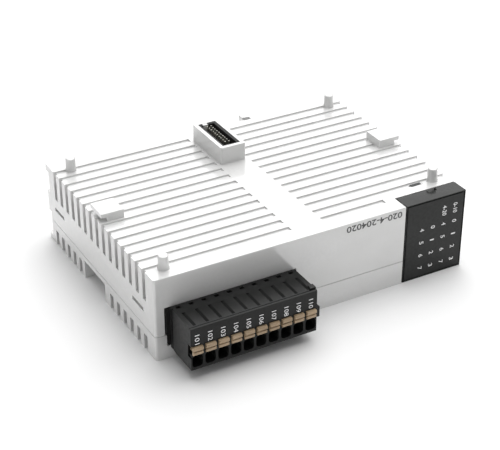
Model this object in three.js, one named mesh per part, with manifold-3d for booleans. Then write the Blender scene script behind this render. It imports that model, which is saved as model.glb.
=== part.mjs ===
// Analogue expansion module of a compact PLC, lying on its side.
// Millimetres, +Z up. +X runs along the module from the plug's end to the indicator window,
// -Y is the front that faces the user and +Y is the back that faces the rail.
// Everything is placed from the lower case's outer corner at x = 0, y = 0, z = 0; the group then
// moves the origin to the middle of the whole object's footprint, at the underside.
import * as THREE from "three";
import { mergeVertices } from "three/addons/utils/BufferGeometryUtils.js";
import Module from "manifold-3d";

const wasm = await Module();
wasm.setup();

// ---------------------------------------------------------------- driving dimensions
const LENGTH = 100;
const DEPTH = 74.8;
const THICKNESS = 25.5;
const CORNER_RADIUS = 0.7;

const SIDE_WALL = 1.8;
const FACE_WALL = 2;
const SEAM_HEIGHT = 7.55;
const SEAM_GAP = 0.15;
const CLEARANCE = 0.3;
const SEAT_GAP = 0.1;
const CUT_PAST = 1; // how far a cutter runs past the face that it opens

// Grooves over the face, and the vent slots that they run into
const GROOVE_COUNT = 15;
const GROOVE_WIDTH = 1.9;
const GROOVE_DEPTH = 0.5;
const END_GROOVE_DEPTH = 0.8;
const FIRST_GROOVE_Y = 5.05;
const LAST_GROOVE_MARGIN = 7;
const PLAIN_STRIP_WIDTH = 10.1;
const SHORT_GROOVE_STOP = 3.7; // before the indicator window
const VENT_OVER_SNAP = 3;
const VENT_TOP_MARGIN = 3.6;
const LOWER_VENT_COUNT = 15;
const LOWER_VENT_WIDTH = 2.1;
const LOWER_VENT_TOP = 4.9;
const LOWER_VENT_REACH = 3.2;
const FIRST_LOWER_VENT_Y = 5.15;
const LAST_LOWER_VENT_MARGIN = 5.5;

// What joins one module to the next
const PEG_RADIUS = 1.5;
const PEG_HEIGHT = 4.1;
const PEG_COLLAR = 0.15;
const PEG_INSET_X = 5.2;
const PEG_INSET_BACK = 8.2;
const PEG_FRONT_LEFT_Y = 4.5;
const PEG_FRONT_RIGHT_Y = 9.55;
const PEG_BOSS_RADIUS = 2.3;
const PEG_BOSS_HEIGHT = 3.9;
const HOOK_LENGTH = 7.4;
const HOOK_HEIGHT = 2.6;
const HOOK_LIP_THICKNESS = 1.2;
const HOOK_LIP_REACH = 1.7;
const HOOK_BODY_WIDTH = 5.2;
const HOOK_LIP_INSET = 0.45;
const HOOK_SLIDE = 6.4; // how far a hook moves along its pocket as it locks
const HOOK_POCKET_HEIGHT = 5.9;

// Rail channel in the back
const RAIL_WIDTH = 35;
const RAIL_PAST_MIDDLE = 0.7;
const RAIL_DEPTH = 3.8;
const RAIL_LIP = 2.2;
const RAIL_SHEET = 1.3;
const RAIL_RELIEF_DEPTH = 0.3;
const RAIL_RELIEF_WIDTH = 2.6;
const LATCH_STEP = 1; // from the channel's floor to the latch's recess
const BACK_WALL = 1.8;

// Rail latch
const LATCH_WIDTH = 6.8;
const LATCH_OVER_SEAM = 2;
const LATCH_FLANGE = 0.5;
const LATCH_FLANGE_THICKNESS = 0.7;
const LATCH_TAB_INSET = 0.25;
const LATCH_NOSE = 1.7;
const LATCH_TRAVEL = 3;
const LATCH_POCKET_START = 14;
const LATCH_POCKET_LENGTH = 10;
const LATCH_POCKET_WIDTH = 4;
const LATCH_POST = 1.2;
const LATCH_SPRING_WIRE = 0.5;
const LATCH_SPRING_TURNS = 5;
const GUIDE_START = 4;
const GUIDE_END = 30;
const GUIDE_WALL = 1.1;
const GUIDE_LIP = 0.8;

// Indicator window
const WINDOW_WIDTH = 20.6;
const WINDOW_DEPTH = 5.5;
const WINDOW_WALL = 1.3;
const WINDOW_NOTCH_INSET = 7.4;
const WINDOW_NOTCH_WIDTH = 2.7;
const WINDOW_NOTCH_DEPTH = 1.4;
const WINDOW_LINE_INSET = 0.25; // a fine groove frames the window's face
const WINDOW_LINE_WIDTH = 0.3;
const WINDOW_LINE_DEPTH = 0.35;
const CATCH_INSET = 8.8;
const CATCH_WIDTH = 4.1;
const CATCH_PAST_WALL = 1.3; // behind the wall that the window seats on
const CATCH_LENGTH = 1.6;
const CATCH_ARM = 1.3;
const CATCH_BELOW_FACE = 0.1;
const LIGHT_COLUMNS = 4;
const LIGHT_ROWS = 5;
const LIGHT_START_INSET = 5.9;
const LIGHT_END_INSET = 3.4;
const LIGHT_FIRST_Z = 3.9;
const LIGHT_TOP_MARGIN = 4.4;
const LIGHT_HOLE = 2;
const LIGHT_MARGIN = 1.8;
const INDICATOR_BOARD_THICKNESS = 1.2;
const LINK_INSET = 1.95;
const LINK_BODY = 2.5;
const LINK_LEGS = 5;
const LINK_LEG = 0.6;

// Bus connectors
const BUS_SHORT_OF_MIDDLE = 0.35;
const BUS_INSET_BACK = 17.8;
const BUS_WAYS = 10;
const BUS_PITCH = 1.27;
const BUS_PIN = 0.46;
const BUS_BAR = 0.3;
const BUS_PIN_BELOW_RIM = 0.3;
const BUS_ROWS_BACK = 0.5; // of the middle of the shroud
const SHROUD_END_SPACE = 6;
const SHROUD_SIDE_SPACE = 5.86;
const SHROUD_WALL = 1.25;
const SHROUD_HEIGHT = 5.5;
const BUS_HEADER_WALL = 0.7;
const BUS_HEADER_BELOW_RIM = 0.25;
const BUS_KEY_WIDTH = 1.5;
const BUS_KEY_REACH = 1.1;
const BUS_KEY_SIDE = 0.8;
const SOCKET_SIDE_SPACE = 1.46;
const SOCKET_END_SPACE = 1.5;
const SOCKET_HOLE = 0.8;
const SOCKET_SETBACK = 0.5;

// Main board and what it carries
const BOARD_UNDERSIDE = 9.2;
const BOARD_THICKNESS = 1.6;
const BOARD_SIDE_GAP = 1.6;
const BOARD_BEHIND_HEADER = 1.4;
const SCREW_INSET_LEFT = 24;
const SCREW_INSET_BACK = 12.8;
const SCREW_INSET_RIGHT = 28;
const SCREW_INSET_FRONT = 22;
const SCREW_RADIUS = 1;
const SCREW_HEAD_RADIUS = 2.3;
const SCREW_HEAD_HEIGHT = 1.4;
const SCREW_DEPTH = 5;
const SCREW_BOSS_RADIUS = 2.7;
const CHIP_LEAD = 0.9;
const CHIP_FOOT = 0.25;
const CHIP_END = 1.4;
const CHIP_LEAD_HEIGHT = 0.4;
const CAN_BASE = 1.2;
const CAN_RIM = 0.4;
const CAN_BEAD = 0.3;
const CAN_SIDES = 28;
const CAPACITOR_HEADROOM = 2.4;
const CONVERTER_HEADROOM = 4.4;

// Snap arms of the lower case, in the windows of the upper one
const SNAP_WIDTH = 7;
const SNAP_FRONT_Y = 6.9;
const SNAP_INSET_BACK = 13.2;
const SNAP_WINDOW_BOTTOM = 12.1;
const SNAP_WINDOW_HEIGHT = 1.2;
const SNAP_ARM = 1;
const SNAP_BARB = 0.8;

// Terminal plug
const POLES = 10;
const POLE_PITCH = 3.81;
const PLUG_START = 4.25;
const PLUG_BOTTOM = 3.4;
const PLUG_TOP = 16.5;
const PLUG_FRONT_Y = -12.4;
const PLUG_BACK_GAP = 0.5;
const PLUG_CHAMBER_SPACING = 1.21;
const PLUG_FRONT_WALL = 3.2;
const PLUG_CHAMBER_BOTTOM = 4.4;
const PLUG_CHAMBER_TOP = 13.3;
const PLUG_SIDE_GROOVE_Y = -1.8;
const PLUG_SIDE_GROOVE = 0.35;
const WIRE_HOLE_SPACING = 0.71;
const WIRE_HOLE_HEIGHT = 3.6;
const WIRE_HOLE_BOTTOM = 4.25;
const WIRE_HOLE_RADIUS = 0.9;
const TEST_HOLE_WIDTH = 1.3;
const TEST_HOLE_LENGTH = 1;
const TEST_HOLE_Y = -1.65;
const TEST_HOLE_DEPTH = 1.6;
const GRIP_WIDTH = 0.9;
const GRIP_DEPTH = 0.5;
const GRIP_START_Y = -11.2;
const GRIP_LENGTH = 6.6;
const BROW_DEPTH = 0.5; // the plain edge in front of the line along the plug's top
const BROW_LINE = 0.25;
const BROW_LINE_DEPTH = 0.4;
const BROW_FALL = 0.15;
const LOW_BACK_RISE = 0.3;
const EAR_REACH = 1.1;
const EAR_HEIGHT = 3.2;
const EAR_BOTTOM = 7.5;
const EAR_LENGTH = 1.7;
const LUG_HEIGHT = 0.55;
const LUG_LENGTH = 1.8;

// Release levers
const LEVER_SPACING = 0.85;
const LEVER_BOTTOM = 8.2;
const LEVER_HEIGHT = 2.5;
const LEVER_PROUD = 0.9;
const LEVER_CAP = 1;
const LEVER_SHOULDER = 0.5;
const LEVER_STEM_HEIGHT = 1.7;
const LEVER_STEM_LENGTH = 4.2;
const LEVER_TRAVEL = 1.6;
const LEVER_GAP = 0.1;
const LEVER_ROUND = 0.3;
const LEVER_STEP = 0.2; // the lower finger bar stands behind the upper one
const LEVER_GROOVE = 0.4;
const LEVER_GROOVE_DEPTH = 0.75;

// Clamps and pins
const CLAMP_SIDE_GAP = 0.35;
const CLAMP_SHEET = 0.35;
const PIN = 0.8;
const PIN_HEIGHT = 12.3;
const PIN_REACH_Y = -4.2;
const PIN_BEND_ON_BOARD = 2.4; // from the board's front edge
const PIN_TAIL = 1;
const PIN_HOLE_GAP = 0.25;

// Terminal header
const HEADER_WALL = 0.9;
const HEADER_PLAY = 0.4;
const HEADER_INSERT_INSET = 0.75;
const HEADER_INSERT_BOTTOM = 5.6;
const HEADER_INSERT_TOP = 14.4;
const HEADER_INSERT_DEPTH = 7.9;
const HEADER_FLANGE_LEFT = 1.1;
const HEADER_FLANGE_TOP = 15.9;
const HEADER_FLANGE_PROUD = 0.4;
const HEADER_FLANGE_THICKNESS = 1.6;

// ---------------------------------------------------------------- worked-out dimensions
const UPPER_BOTTOM = SEAM_HEIGHT + SEAM_GAP / 2;
const LOWER_TOP = SEAM_HEIGHT - SEAM_GAP / 2;
const CEILING = THICKNESS - FACE_WALL;
const BOARD_TOP = BOARD_UNDERSIDE + BOARD_THICKNESS;
const BUS_X = LENGTH / 2 - BUS_SHORT_OF_MIDDLE;
const BUS_Y = DEPTH - BUS_INSET_BACK;
const BUS_ROWS_Y = BUS_Y + BUS_ROWS_BACK;
const SHROUD_LENGTH = BUS_WAYS * BUS_PITCH + SHROUD_END_SPACE;
const SHROUD_WIDTH = 2 * BUS_PITCH + SHROUD_SIDE_SPACE;
const SOCKET_BODY_WIDTH = 2 * BUS_PITCH + SOCKET_SIDE_SPACE;
const SOCKET_BODY_LENGTH = BUS_WAYS * BUS_PITCH + SOCKET_END_SPACE;
const PLAIN_STRIP_START = BUS_X - PLAIN_STRIP_WIDTH / 2;
const PLAIN_STRIP_END = BUS_X + PLAIN_STRIP_WIDTH / 2;
const GROOVE_PITCH = (DEPTH - FIRST_GROOVE_Y - LAST_GROOVE_MARGIN - GROOVE_WIDTH) / (GROOVE_COUNT - 1);
const LOWER_VENT_PITCH =
  (DEPTH - FIRST_LOWER_VENT_Y - LAST_LOWER_VENT_MARGIN - LOWER_VENT_WIDTH) / (LOWER_VENT_COUNT - 1);
const VENT_BOTTOM = SNAP_WINDOW_BOTTOM + SNAP_WINDOW_HEIGHT + VENT_OVER_SNAP;
const VENT_TOP = THICKNESS - VENT_TOP_MARGIN;
const HOOK_FRONT_Y = (DEPTH - HOOK_LENGTH) / 2;
const WINDOW_START = LENGTH - WINDOW_WIDTH;
const WINDOW_BACK = WINDOW_DEPTH + CLEARANCE;
const WINDOW_SIDE = WINDOW_START - CLEARANCE;
const CATCH_FRONT = WINDOW_BACK + SIDE_WALL + CATCH_PAST_WALL;
const CATCH_END = LENGTH - CATCH_INSET;
const CATCH_START = CATCH_END - CATCH_WIDTH;
const INNER_BACK = DEPTH - RAIL_DEPTH - BACK_WALL;
const RAIL_CENTRE_X = LENGTH / 2 + RAIL_PAST_MIDDLE;
const CHANNEL_START = RAIL_CENTRE_X - RAIL_WIDTH / 2 - CLEARANCE;
const CHANNEL_END = RAIL_CENTRE_X + RAIL_WIDTH / 2 + CLEARANCE;
const CHANNEL_FLOOR = DEPTH - RAIL_DEPTH;
const LATCH_WALL = CHANNEL_FLOOR + LATCH_STEP;
const LATCH_CENTRE_Z = UPPER_BOTTOM + LATCH_OVER_SEAM + LATCH_WIDTH / 2;
const PLUG_END = PLUG_START + POLES * POLE_PITCH;
const PLUG_BACK = -PLUG_BACK_GAP;
const RIM = THICKNESS + SHROUD_HEIGHT;
const BUS_ROW_X = [BUS_X - BUS_PITCH / 2, BUS_X + BUS_PITCH / 2];
const HEADER_CAVITY = {
  x0: PLUG_START + HEADER_INSERT_INSET - HEADER_PLAY,
  x1: PLUG_END - HEADER_INSERT_INSET + HEADER_PLAY,
  z0: HEADER_INSERT_BOTTOM - HEADER_PLAY,
  z1: HEADER_INSERT_TOP + HEADER_PLAY,
  depth: HEADER_INSERT_DEPTH + HEADER_PLAY,
};
const HEADER_BODY = {
  x0: HEADER_CAVITY.x0 - HEADER_WALL,
  x1: HEADER_CAVITY.x1 + HEADER_WALL,
  z0: HEADER_CAVITY.z0 - HEADER_WALL,
  z1: HEADER_CAVITY.z1 + HEADER_WALL,
  depth: HEADER_CAVITY.depth + HEADER_WALL,
};
const BOARD_FRONT_Y = HEADER_BODY.depth + BOARD_BEHIND_HEADER;
const PIN_BEND_Y = BOARD_FRONT_Y + PIN_BEND_ON_BOARD;
const HEADER_FLANGE = {
  x0: PLUG_START - HEADER_FLANGE_LEFT,
  x1: HEADER_BODY.x1,
  z0: UPPER_BOTTOM + CLEARANCE,
  z1: HEADER_FLANGE_TOP,
};
const LIGHT_PITCH_Z = (THICKNESS - LIGHT_FIRST_Z - LIGHT_TOP_MARGIN) / (LIGHT_ROWS - 1);
const LIGHT_PITCH_X = (WINDOW_WIDTH - LIGHT_START_INSET - LIGHT_END_INSET) / (LIGHT_COLUMNS - 1);
const LIGHT_FIRST_X = WINDOW_START + LIGHT_START_INSET;
const LIGHT_BLOCK = {
  x0: LIGHT_FIRST_X - LIGHT_MARGIN,
  x1: LIGHT_FIRST_X + (LIGHT_COLUMNS - 1) * LIGHT_PITCH_X + LIGHT_MARGIN,
  z0: LIGHT_FIRST_Z - LIGHT_MARGIN,
  z1: LIGHT_FIRST_Z + (LIGHT_ROWS - 1) * LIGHT_PITCH_Z + LIGHT_MARGIN,
};
const PEGS = [
  [PEG_INSET_X, PEG_FRONT_LEFT_Y],
  [PEG_INSET_X, DEPTH - PEG_INSET_BACK],
  [LENGTH - PEG_INSET_X, PEG_FRONT_RIGHT_Y],
  [LENGTH - PEG_INSET_X, DEPTH - PEG_INSET_BACK],
];
const SCREW_PLACES = [
  [SCREW_INSET_LEFT, DEPTH - SCREW_INSET_BACK],
  [LENGTH - SCREW_INSET_RIGHT, SCREW_INSET_FRONT],
];
const PLUG_CHAMBER_WIDTH = POLE_PITCH - PLUG_CHAMBER_SPACING;
const WIRE_HOLE_WIDTH = POLE_PITCH - WIRE_HOLE_SPACING;
const LEVER_WIDTH = POLE_PITCH - LEVER_SPACING;
const LEVER_STEM_WIDTH = LEVER_WIDTH - 2 * LEVER_SHOULDER;
const CLAMP_WIDTH = PLUG_CHAMBER_WIDTH - 2 * CLAMP_SIDE_GAP;
const poleX = (pole) => PLUG_START + (pole + 0.5) * POLE_PITCH;
const grooveY = (index) => FIRST_GROOVE_Y + index * GROOVE_PITCH;

// ---------------------------------------------------------------- materials
const finish = (color, roughness, metalness = 0) =>
  new THREE.MeshStandardMaterial({ color, roughness, metalness });
const CASE_PLASTIC = finish(0xe9e9e7, 0.45);
const BLACK_PLASTIC = finish(0x1c1d1d, 0.5);
const WINDOW_PLASTIC = finish(0x2c2e2d, 0.25);
const LEVER_PLASTIC = finish(0xb49a70, 0.5);
const DIFFUSER_PLASTIC = finish(0xd8dad6, 0.4);
const BOARD_LAMINATE = finish(0x1f5a35, 0.45);
const CHIP_PLASTIC = finish(0x222222, 0.6);
const GOLD_PLATE = finish(0xd0a94e, 0.3, 1);
const TIN_PLATE = finish(0xb9bcbe, 0.35, 1);
const SPRING_STEEL = finish(0xa6a9ab, 0.3, 1);

// ---------------------------------------------------------------- solids
function solid(geometry) {
  const bare = geometry.clone();
  bare.deleteAttribute("normal");
  bare.deleteAttribute("uv");
  const merged = mergeVertices(bare, 1e-4);
  return new wasm.Manifold(
    new wasm.Mesh({
      numProp: 3,
      vertProperties: merged.attributes.position.array,
      triVerts: new Uint32Array(merged.index.array),
    }),
  );
}

function box(x0, x1, y0, y1, z0, z1) {
  const geometry = new THREE.BoxGeometry(x1 - x0, y1 - y0, z1 - z0);
  return solid(geometry.translate((x0 + x1) / 2, (y0 + y1) / 2, (z0 + z1) / 2));
}

// A box given by its middle in x, the way that everything at a pole is placed.
const slab = (x, width, y0, y1, z0, z1) => box(x - width / 2, x + width / 2, y0, y1, z0, z1);

// An outline pushed along an axis. Its two coordinates are (x, y) along z, (x, z) along y, (y, z) along x.
function prism(shape, axis, from, to) {
  const geometry = new THREE.ExtrudeGeometry(shape, {
    depth: to - from,
    bevelEnabled: false,
    curveSegments: 4,
  });
  const turn = new THREE.Matrix4();
  if (axis === "x") {
    turn.makeBasis(
      new THREE.Vector3(0, 1, 0),
      new THREE.Vector3(0, 0, 1),
      new THREE.Vector3(1, 0, 0),
    );
    turn.setPosition(from, 0, 0);
  } else if (axis === "y") {
    turn.makeBasis(
      new THREE.Vector3(1, 0, 0),
      new THREE.Vector3(0, 0, 1),
      new THREE.Vector3(0, -1, 0),
    );
    turn.setPosition(0, to, 0);
  } else {
    turn.setPosition(0, 0, from);
  }
  return solid(geometry.applyMatrix4(turn));
}

const outline = (points) => new THREE.Shape(points.map(([a, b]) => new THREE.Vector2(a, b)));

function roundedRect(a0, a1, b0, b1, r) {
  const shape = new THREE.Shape();
  shape.moveTo(a0 + r, b0);
  shape.lineTo(a1 - r, b0);
  shape.absarc(a1 - r, b0 + r, r, -Math.PI / 2, 0);
  shape.lineTo(a1, b1 - r);
  shape.absarc(a1 - r, b1 - r, r, 0, Math.PI / 2);
  shape.lineTo(a0 + r, b1);
  shape.absarc(a0 + r, b1 - r, r, Math.PI / 2, Math.PI);
  shape.lineTo(a0, b0 + r);
  shape.absarc(a0 + r, b0 + r, r, Math.PI, 1.5 * Math.PI);
  return shape;
}

// A turned piece on a vertical axis: the profile is [radius, height] points that start and end on the axis.
function turned(x, y, profile, sides = 20) {
  const points = profile.map(([r, z]) => new THREE.Vector2(r, z));
  const geometry = new THREE.LatheGeometry(points, sides);
  return solid(geometry.rotateX(Math.PI / 2).translate(x, y, 0));
}

const rod = (x, y, r, z0, z1, sides) => turned(x, y, [[0, z0], [r, z0], [r, z1], [0, z1]], sides);

// A bent strip of sheet: its middle line, as (y, z) points, thickened to both sides.
function stripOutline(line, sheet) {
  const left = [];
  const right = [];
  line.forEach(([a, b], i) => {
    const before = line[Math.max(i - 1, 0)];
    const after = line[Math.min(i + 1, line.length - 1)];
    const along = new THREE.Vector2(after[0] - before[0], after[1] - before[1]).normalize();
    left.push([a - (along.y * sheet) / 2, b + (along.x * sheet) / 2]);
    right.unshift([a + (along.y * sheet) / 2, b - (along.x * sheet) / 2]);
  });
  return outline([...left, ...right].reverse());
}

const addAll = (solids) => solids.reduce((sum, next) => sum.add(next));
const cutAll = (body, cutters) => body.subtract(addAll(cutters));
const count = (n) => Array.from({ length: n }, (_, i) => i);

const module = new THREE.Group();
function add(name, body, material) {
  const { vertProperties, triVerts } = body.getMesh();
  const geometry = new THREE.BufferGeometry();
  geometry.setAttribute("position", new THREE.BufferAttribute(vertProperties, 3));
  geometry.setIndex(new THREE.BufferAttribute(triVerts, 1));
  geometry.computeVertexNormals();
  const mesh = new THREE.Mesh(geometry, material);
  mesh.name = name;
  module.add(mesh);
}

// Calls make once for each end of the case: at(a, b) turns distances from that end into an x range.
function bothEnds(make) {
  return [
    make((a, b) => [a, b]),
    make((a, b) => [LENGTH - b, LENGTH - a]),
  ];
}

// Where the hollow starts behind the front at each end: the indicator window takes the right one.
const frontOf = (at) => (at(0, 1)[0] > 0 ? WINDOW_BACK + SIDE_WALL : 0);
const snapYs = (at) => [Math.max(SNAP_FRONT_Y, frontOf(at) + CLEARANCE), DEPTH - SNAP_INSET_BACK];

// ---------------------------------------------------------------- cuts that both halves share
// The rail rests on a pad between two shallow reliefs, which lie under the lip and the latch's nose.
function railChannel() {
  const lipStart = CHANNEL_END - RAIL_LIP;
  const sheetTop = CHANNEL_FLOOR + RAIL_SHEET;
  const relief = CHANNEL_FLOOR - RAIL_RELIEF_DEPTH;
  const padStart = CHANNEL_START + RAIL_RELIEF_WIDTH;
  const padEnd = CHANNEL_END - RAIL_RELIEF_WIDTH;
  const profile = outline([
    [CHANNEL_START, relief],
    [padStart, relief],
    [padStart, CHANNEL_FLOOR],
    [padEnd, CHANNEL_FLOOR],
    [padEnd, relief],
    [CHANNEL_END, relief],
    [CHANNEL_END, sheetTop],
    [lipStart, sheetTop + CLEARANCE],
    [lipStart, DEPTH + CUT_PAST],
    [CHANNEL_START, DEPTH + CUT_PAST],
  ]);
  return prism(profile, "z", -CUT_PAST, THICKNESS + CUT_PAST);
}

function latchRecess() {
  return box(-CUT_PAST, CHANNEL_START + CUT_PAST, LATCH_WALL, DEPTH + CUT_PAST, SIDE_WALL, CEILING);
}

function windowSeat() {
  return box(WINDOW_SIDE, LENGTH + CUT_PAST, -CUT_PAST, WINDOW_BACK, -CUT_PAST, THICKNESS + CUT_PAST);
}

// The hollow: behind the plain front, behind the window's seat, and out to the back on the right.
function hollow(z0, z1) {
  const inner = LENGTH - SIDE_WALL;
  return addAll([
    box(SIDE_WALL, WINDOW_SIDE - SIDE_WALL, SIDE_WALL, INNER_BACK, z0, z1),
    box(WINDOW_SIDE - SIDE_WALL - CUT_PAST, inner, WINDOW_BACK + SIDE_WALL, INNER_BACK, z0, z1),
    box(CHANNEL_END + BACK_WALL, inner, INNER_BACK - CUT_PAST, DEPTH - BACK_WALL, z0, z1),
  ]);
}

function lightOpening() {
  const c = CLEARANCE;
  return box(
    LIGHT_BLOCK.x0 - c, LIGHT_BLOCK.x1 + c,
    WINDOW_DEPTH, WINDOW_BACK + SIDE_WALL + CUT_PAST,
    LIGHT_BLOCK.z0 - c, LIGHT_BLOCK.z1 + c,
  );
}

// The way in and the window for the catches at the top and the bottom of the indicator window.
function catchCuts() {
  const [x0, x1] = [CATCH_START, CATCH_END];
  const back = CATCH_FRONT + CATCH_LENGTH;
  const reach = CATCH_ARM + 2 * CLEARANCE;
  return addAll([
    box(x0, x1, back - CATCH_LENGTH, back, CEILING - CUT_PAST, THICKNESS + CUT_PAST),
    box(x0, x1, back - CATCH_LENGTH, back, -CUT_PAST, FACE_WALL + CUT_PAST),
    box(x0, x1, WINDOW_DEPTH, WINDOW_BACK + SIDE_WALL + CUT_PAST, CEILING - reach, CEILING),
    box(x0, x1, WINDOW_DEPTH, WINDOW_BACK + SIDE_WALL + CUT_PAST, FACE_WALL, FACE_WALL + reach),
  ]);
}

function headerOpening() {
  const c = CLEARANCE;
  return addAll([
    box(
      HEADER_FLANGE.x0 - c, HEADER_FLANGE.x1 + c, -CUT_PAST, SIDE_WALL + CUT_PAST,
      UPPER_BOTTOM - c, HEADER_FLANGE.z1 + c,
    ),
    box(
      HEADER_BODY.x0 - c, HEADER_BODY.x1 + c, -CUT_PAST, SIDE_WALL + CUT_PAST,
      HEADER_BODY.z0 - c, UPPER_BOTTOM,
    ),
  ]);
}

// ---------------------------------------------------------------- upper case
function faceGrooves() {
  const bottom = THICKNESS - GROOVE_DEPTH;
  const top = THICKNESS + CUT_PAST;
  return count(GROOVE_COUNT).flatMap((i) => {
    const y0 = grooveY(i);
    const y1 = y0 + GROOVE_WIDTH;
    const end = i === 0 ? WINDOW_START - SHORT_GROOVE_STOP : LENGTH + CUT_PAST;
    return [
      box(-CUT_PAST, PLAIN_STRIP_START, y0, y1, bottom, top),
      box(PLAIN_STRIP_END, end, y0, y1, bottom, top),
    ];
  });
}

function endGrooves() {
  return bothEnds((at) =>
    addAll(
      count(GROOVE_COUNT).flatMap((i) => {
        const y0 = grooveY(i);
        const y1 = y0 + GROOVE_WIDTH;
        const vent = [...at(-CUT_PAST, SIDE_WALL + CUT_PAST), y0, y1, VENT_BOTTOM, VENT_TOP];
        const groove = [...at(-CUT_PAST, END_GROOVE_DEPTH), y0, y1, VENT_BOTTOM, THICKNESS + CUT_PAST];
        return y0 < frontOf(at) ? [] : [box(...vent), box(...groove)];
      }),
    ),
  );
}

function snapWindows() {
  return bothEnds((at) =>
    addAll(
      snapYs(at).map((y) =>
        box(
          ...at(-CUT_PAST, SIDE_WALL + CUT_PAST), y, y + SNAP_WIDTH,
          SNAP_WINDOW_BOTTOM, SNAP_WINDOW_BOTTOM + SNAP_WINDOW_HEIGHT,
        ),
      ),
    ),
  );
}

function peg([x, y]) {
  const root = THICKNESS - GROOVE_DEPTH - SEAT_GAP;
  return turned(x, y, [
    [0, root],
    [PEG_RADIUS + PEG_COLLAR, root],
    [PEG_RADIUS + PEG_COLLAR, THICKNESS + 2 * PEG_COLLAR],
    [PEG_RADIUS, THICKNESS + 4 * PEG_COLLAR],
    [PEG_RADIUS - PEG_COLLAR / 2, THICKNESS + PEG_HEIGHT - PEG_COLLAR],
    [PEG_RADIUS - 2 * PEG_COLLAR, THICKNESS + PEG_HEIGHT],
    [0, THICKNESS + PEG_HEIGHT],
  ]);
}

function hooks() {
  const root = THICKNESS - GROOVE_DEPTH - SEAT_GAP;
  const top = THICKNESS + HOOK_HEIGHT;
  const back = HOOK_FRONT_Y + HOOK_LENGTH;
  const body = HOOK_LIP_INSET + HOOK_LIP_REACH;
  return bothEnds((at) =>
    addAll([
      box(...at(body, body + HOOK_BODY_WIDTH), HOOK_FRONT_Y, back, root, top),
      box(...at(HOOK_LIP_INSET, body + SEAT_GAP), HOOK_FRONT_Y, back, top - HOOK_LIP_THICKNESS, top),
    ]),
  );
}

function busShroud() {
  const x0 = BUS_X - SHROUD_WIDTH / 2;
  const y0 = BUS_Y - SHROUD_LENGTH / 2;
  const root = THICKNESS - GROOVE_DEPTH - SEAT_GAP;
  return prism(roundedRect(x0, x0 + SHROUD_WIDTH, y0, y0 + SHROUD_LENGTH, CORNER_RADIUS), "z", root, RIM);
}

function busOpening() {
  const width = SHROUD_WIDTH / 2 - SHROUD_WALL;
  const length = SHROUD_LENGTH / 2 - SHROUD_WALL;
  return box(
    BUS_X - width, BUS_X + width, BUS_Y - length, BUS_Y + length,
    CEILING - CUT_PAST, RIM + CUT_PAST,
  );
}

function latchGuides() {
  const front = LATCH_WALL - SEAT_GAP;
  const lipStart = LATCH_WALL + CLEARANCE + LATCH_FLANGE_THICKNESS + CLEARANCE;
  const inner = LATCH_WIDTH / 2 + LATCH_FLANGE + CLEARANCE;
  const guide = (side) => {
    const span = (a, b) => [LATCH_CENTRE_Z + side * a, LATCH_CENTRE_Z + side * b].sort((p, q) => p - q);
    return addAll([
      box(GUIDE_START, GUIDE_END, front, lipStart + GUIDE_LIP, ...span(inner, inner + GUIDE_WALL)),
      box(
        GUIDE_START, GUIDE_END, lipStart, lipStart + GUIDE_LIP,
        ...span(LATCH_WIDTH / 2 + CLEARANCE, inner + GUIDE_WALL),
      ),
    ]);
  };
  const postStart = LATCH_POCKET_START + CLEARANCE;
  const postHalf = LATCH_POCKET_WIDTH / 2 - CLEARANCE;
  const post = box(
    postStart, postStart + LATCH_POST, front, lipStart + GUIDE_LIP,
    LATCH_CENTRE_Z - postHalf, LATCH_CENTRE_Z + postHalf,
  );
  return [guide(-1), guide(1), post];
}

function upperCase() {
  const block = prism(roundedRect(0, LENGTH, 0, DEPTH, CORNER_RADIUS), "z", UPPER_BOTTOM, THICKNESS);
  const shell = cutAll(block, [
    hollow(UPPER_BOTTOM - CUT_PAST, CEILING),
    railChannel(),
    latchRecess(),
    windowSeat(),
    lightOpening(),
    catchCuts(),
    headerOpening(),
    ...faceGrooves(),
    ...endGrooves(),
    ...snapWindows(),
  ]);
  const keyEnd = BUS_Y + SHROUD_LENGTH / 2 - SHROUD_WALL;
  const keyX = BUS_X - BUS_KEY_SIDE;
  const key = slab(keyX, BUS_KEY_WIDTH, keyEnd - BUS_KEY_REACH, keyEnd + SEAT_GAP, CEILING, RIM - SEAT_GAP);
  const dressed = addAll([shell, ...PEGS.map(peg), ...hooks(), busShroud(), ...latchGuides()]);
  return dressed.subtract(busOpening()).add(key);
}
add("upper_case", upperCase(), CASE_PLASTIC);

// ---------------------------------------------------------------- lower case
const POCKET_REACH = HOOK_LIP_INSET + HOOK_LIP_REACH + HOOK_BODY_WIDTH + 2 * CLEARANCE;
const POCKET_FRONT = HOOK_FRONT_Y - 2 * CLEARANCE;
const POCKET_BACK = HOOK_FRONT_Y + HOOK_LENGTH + HOOK_SLIDE;

// The vents stop beside the hook's pocket, and on the right beside the indicator window.
function lowerVents() {
  return bothEnds((at) => {
    return addAll(
      count(LOWER_VENT_COUNT)
        .map((i) => FIRST_LOWER_VENT_Y + i * LOWER_VENT_PITCH)
        .filter((y) => y > frontOf(at) && (y + LOWER_VENT_WIDTH < POCKET_FRONT || y > POCKET_BACK))
        .map((y) =>
          box(...at(-CUT_PAST, LOWER_VENT_REACH), y, y + LOWER_VENT_WIDTH, -CUT_PAST, LOWER_VENT_TOP),
        ),
    );
  });
}

function hookPockets() {
  return bothEnds((at) =>
    box(...at(-CUT_PAST, POCKET_REACH), POCKET_FRONT, POCKET_BACK, -CUT_PAST, HOOK_POCKET_HEIGHT),
  );
}

function pocketWalls() {
  const wall = SIDE_WALL - 2 * CLEARANCE;
  return bothEnds((at) =>
    box(
      ...at(0, POCKET_REACH + wall), POCKET_FRONT - wall, POCKET_BACK + wall,
      0, HOOK_POCKET_HEIGHT + wall,
    ).intersect(box(0, LENGTH, 0, DEPTH, 0, LOWER_TOP)),
  );
}

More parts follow.
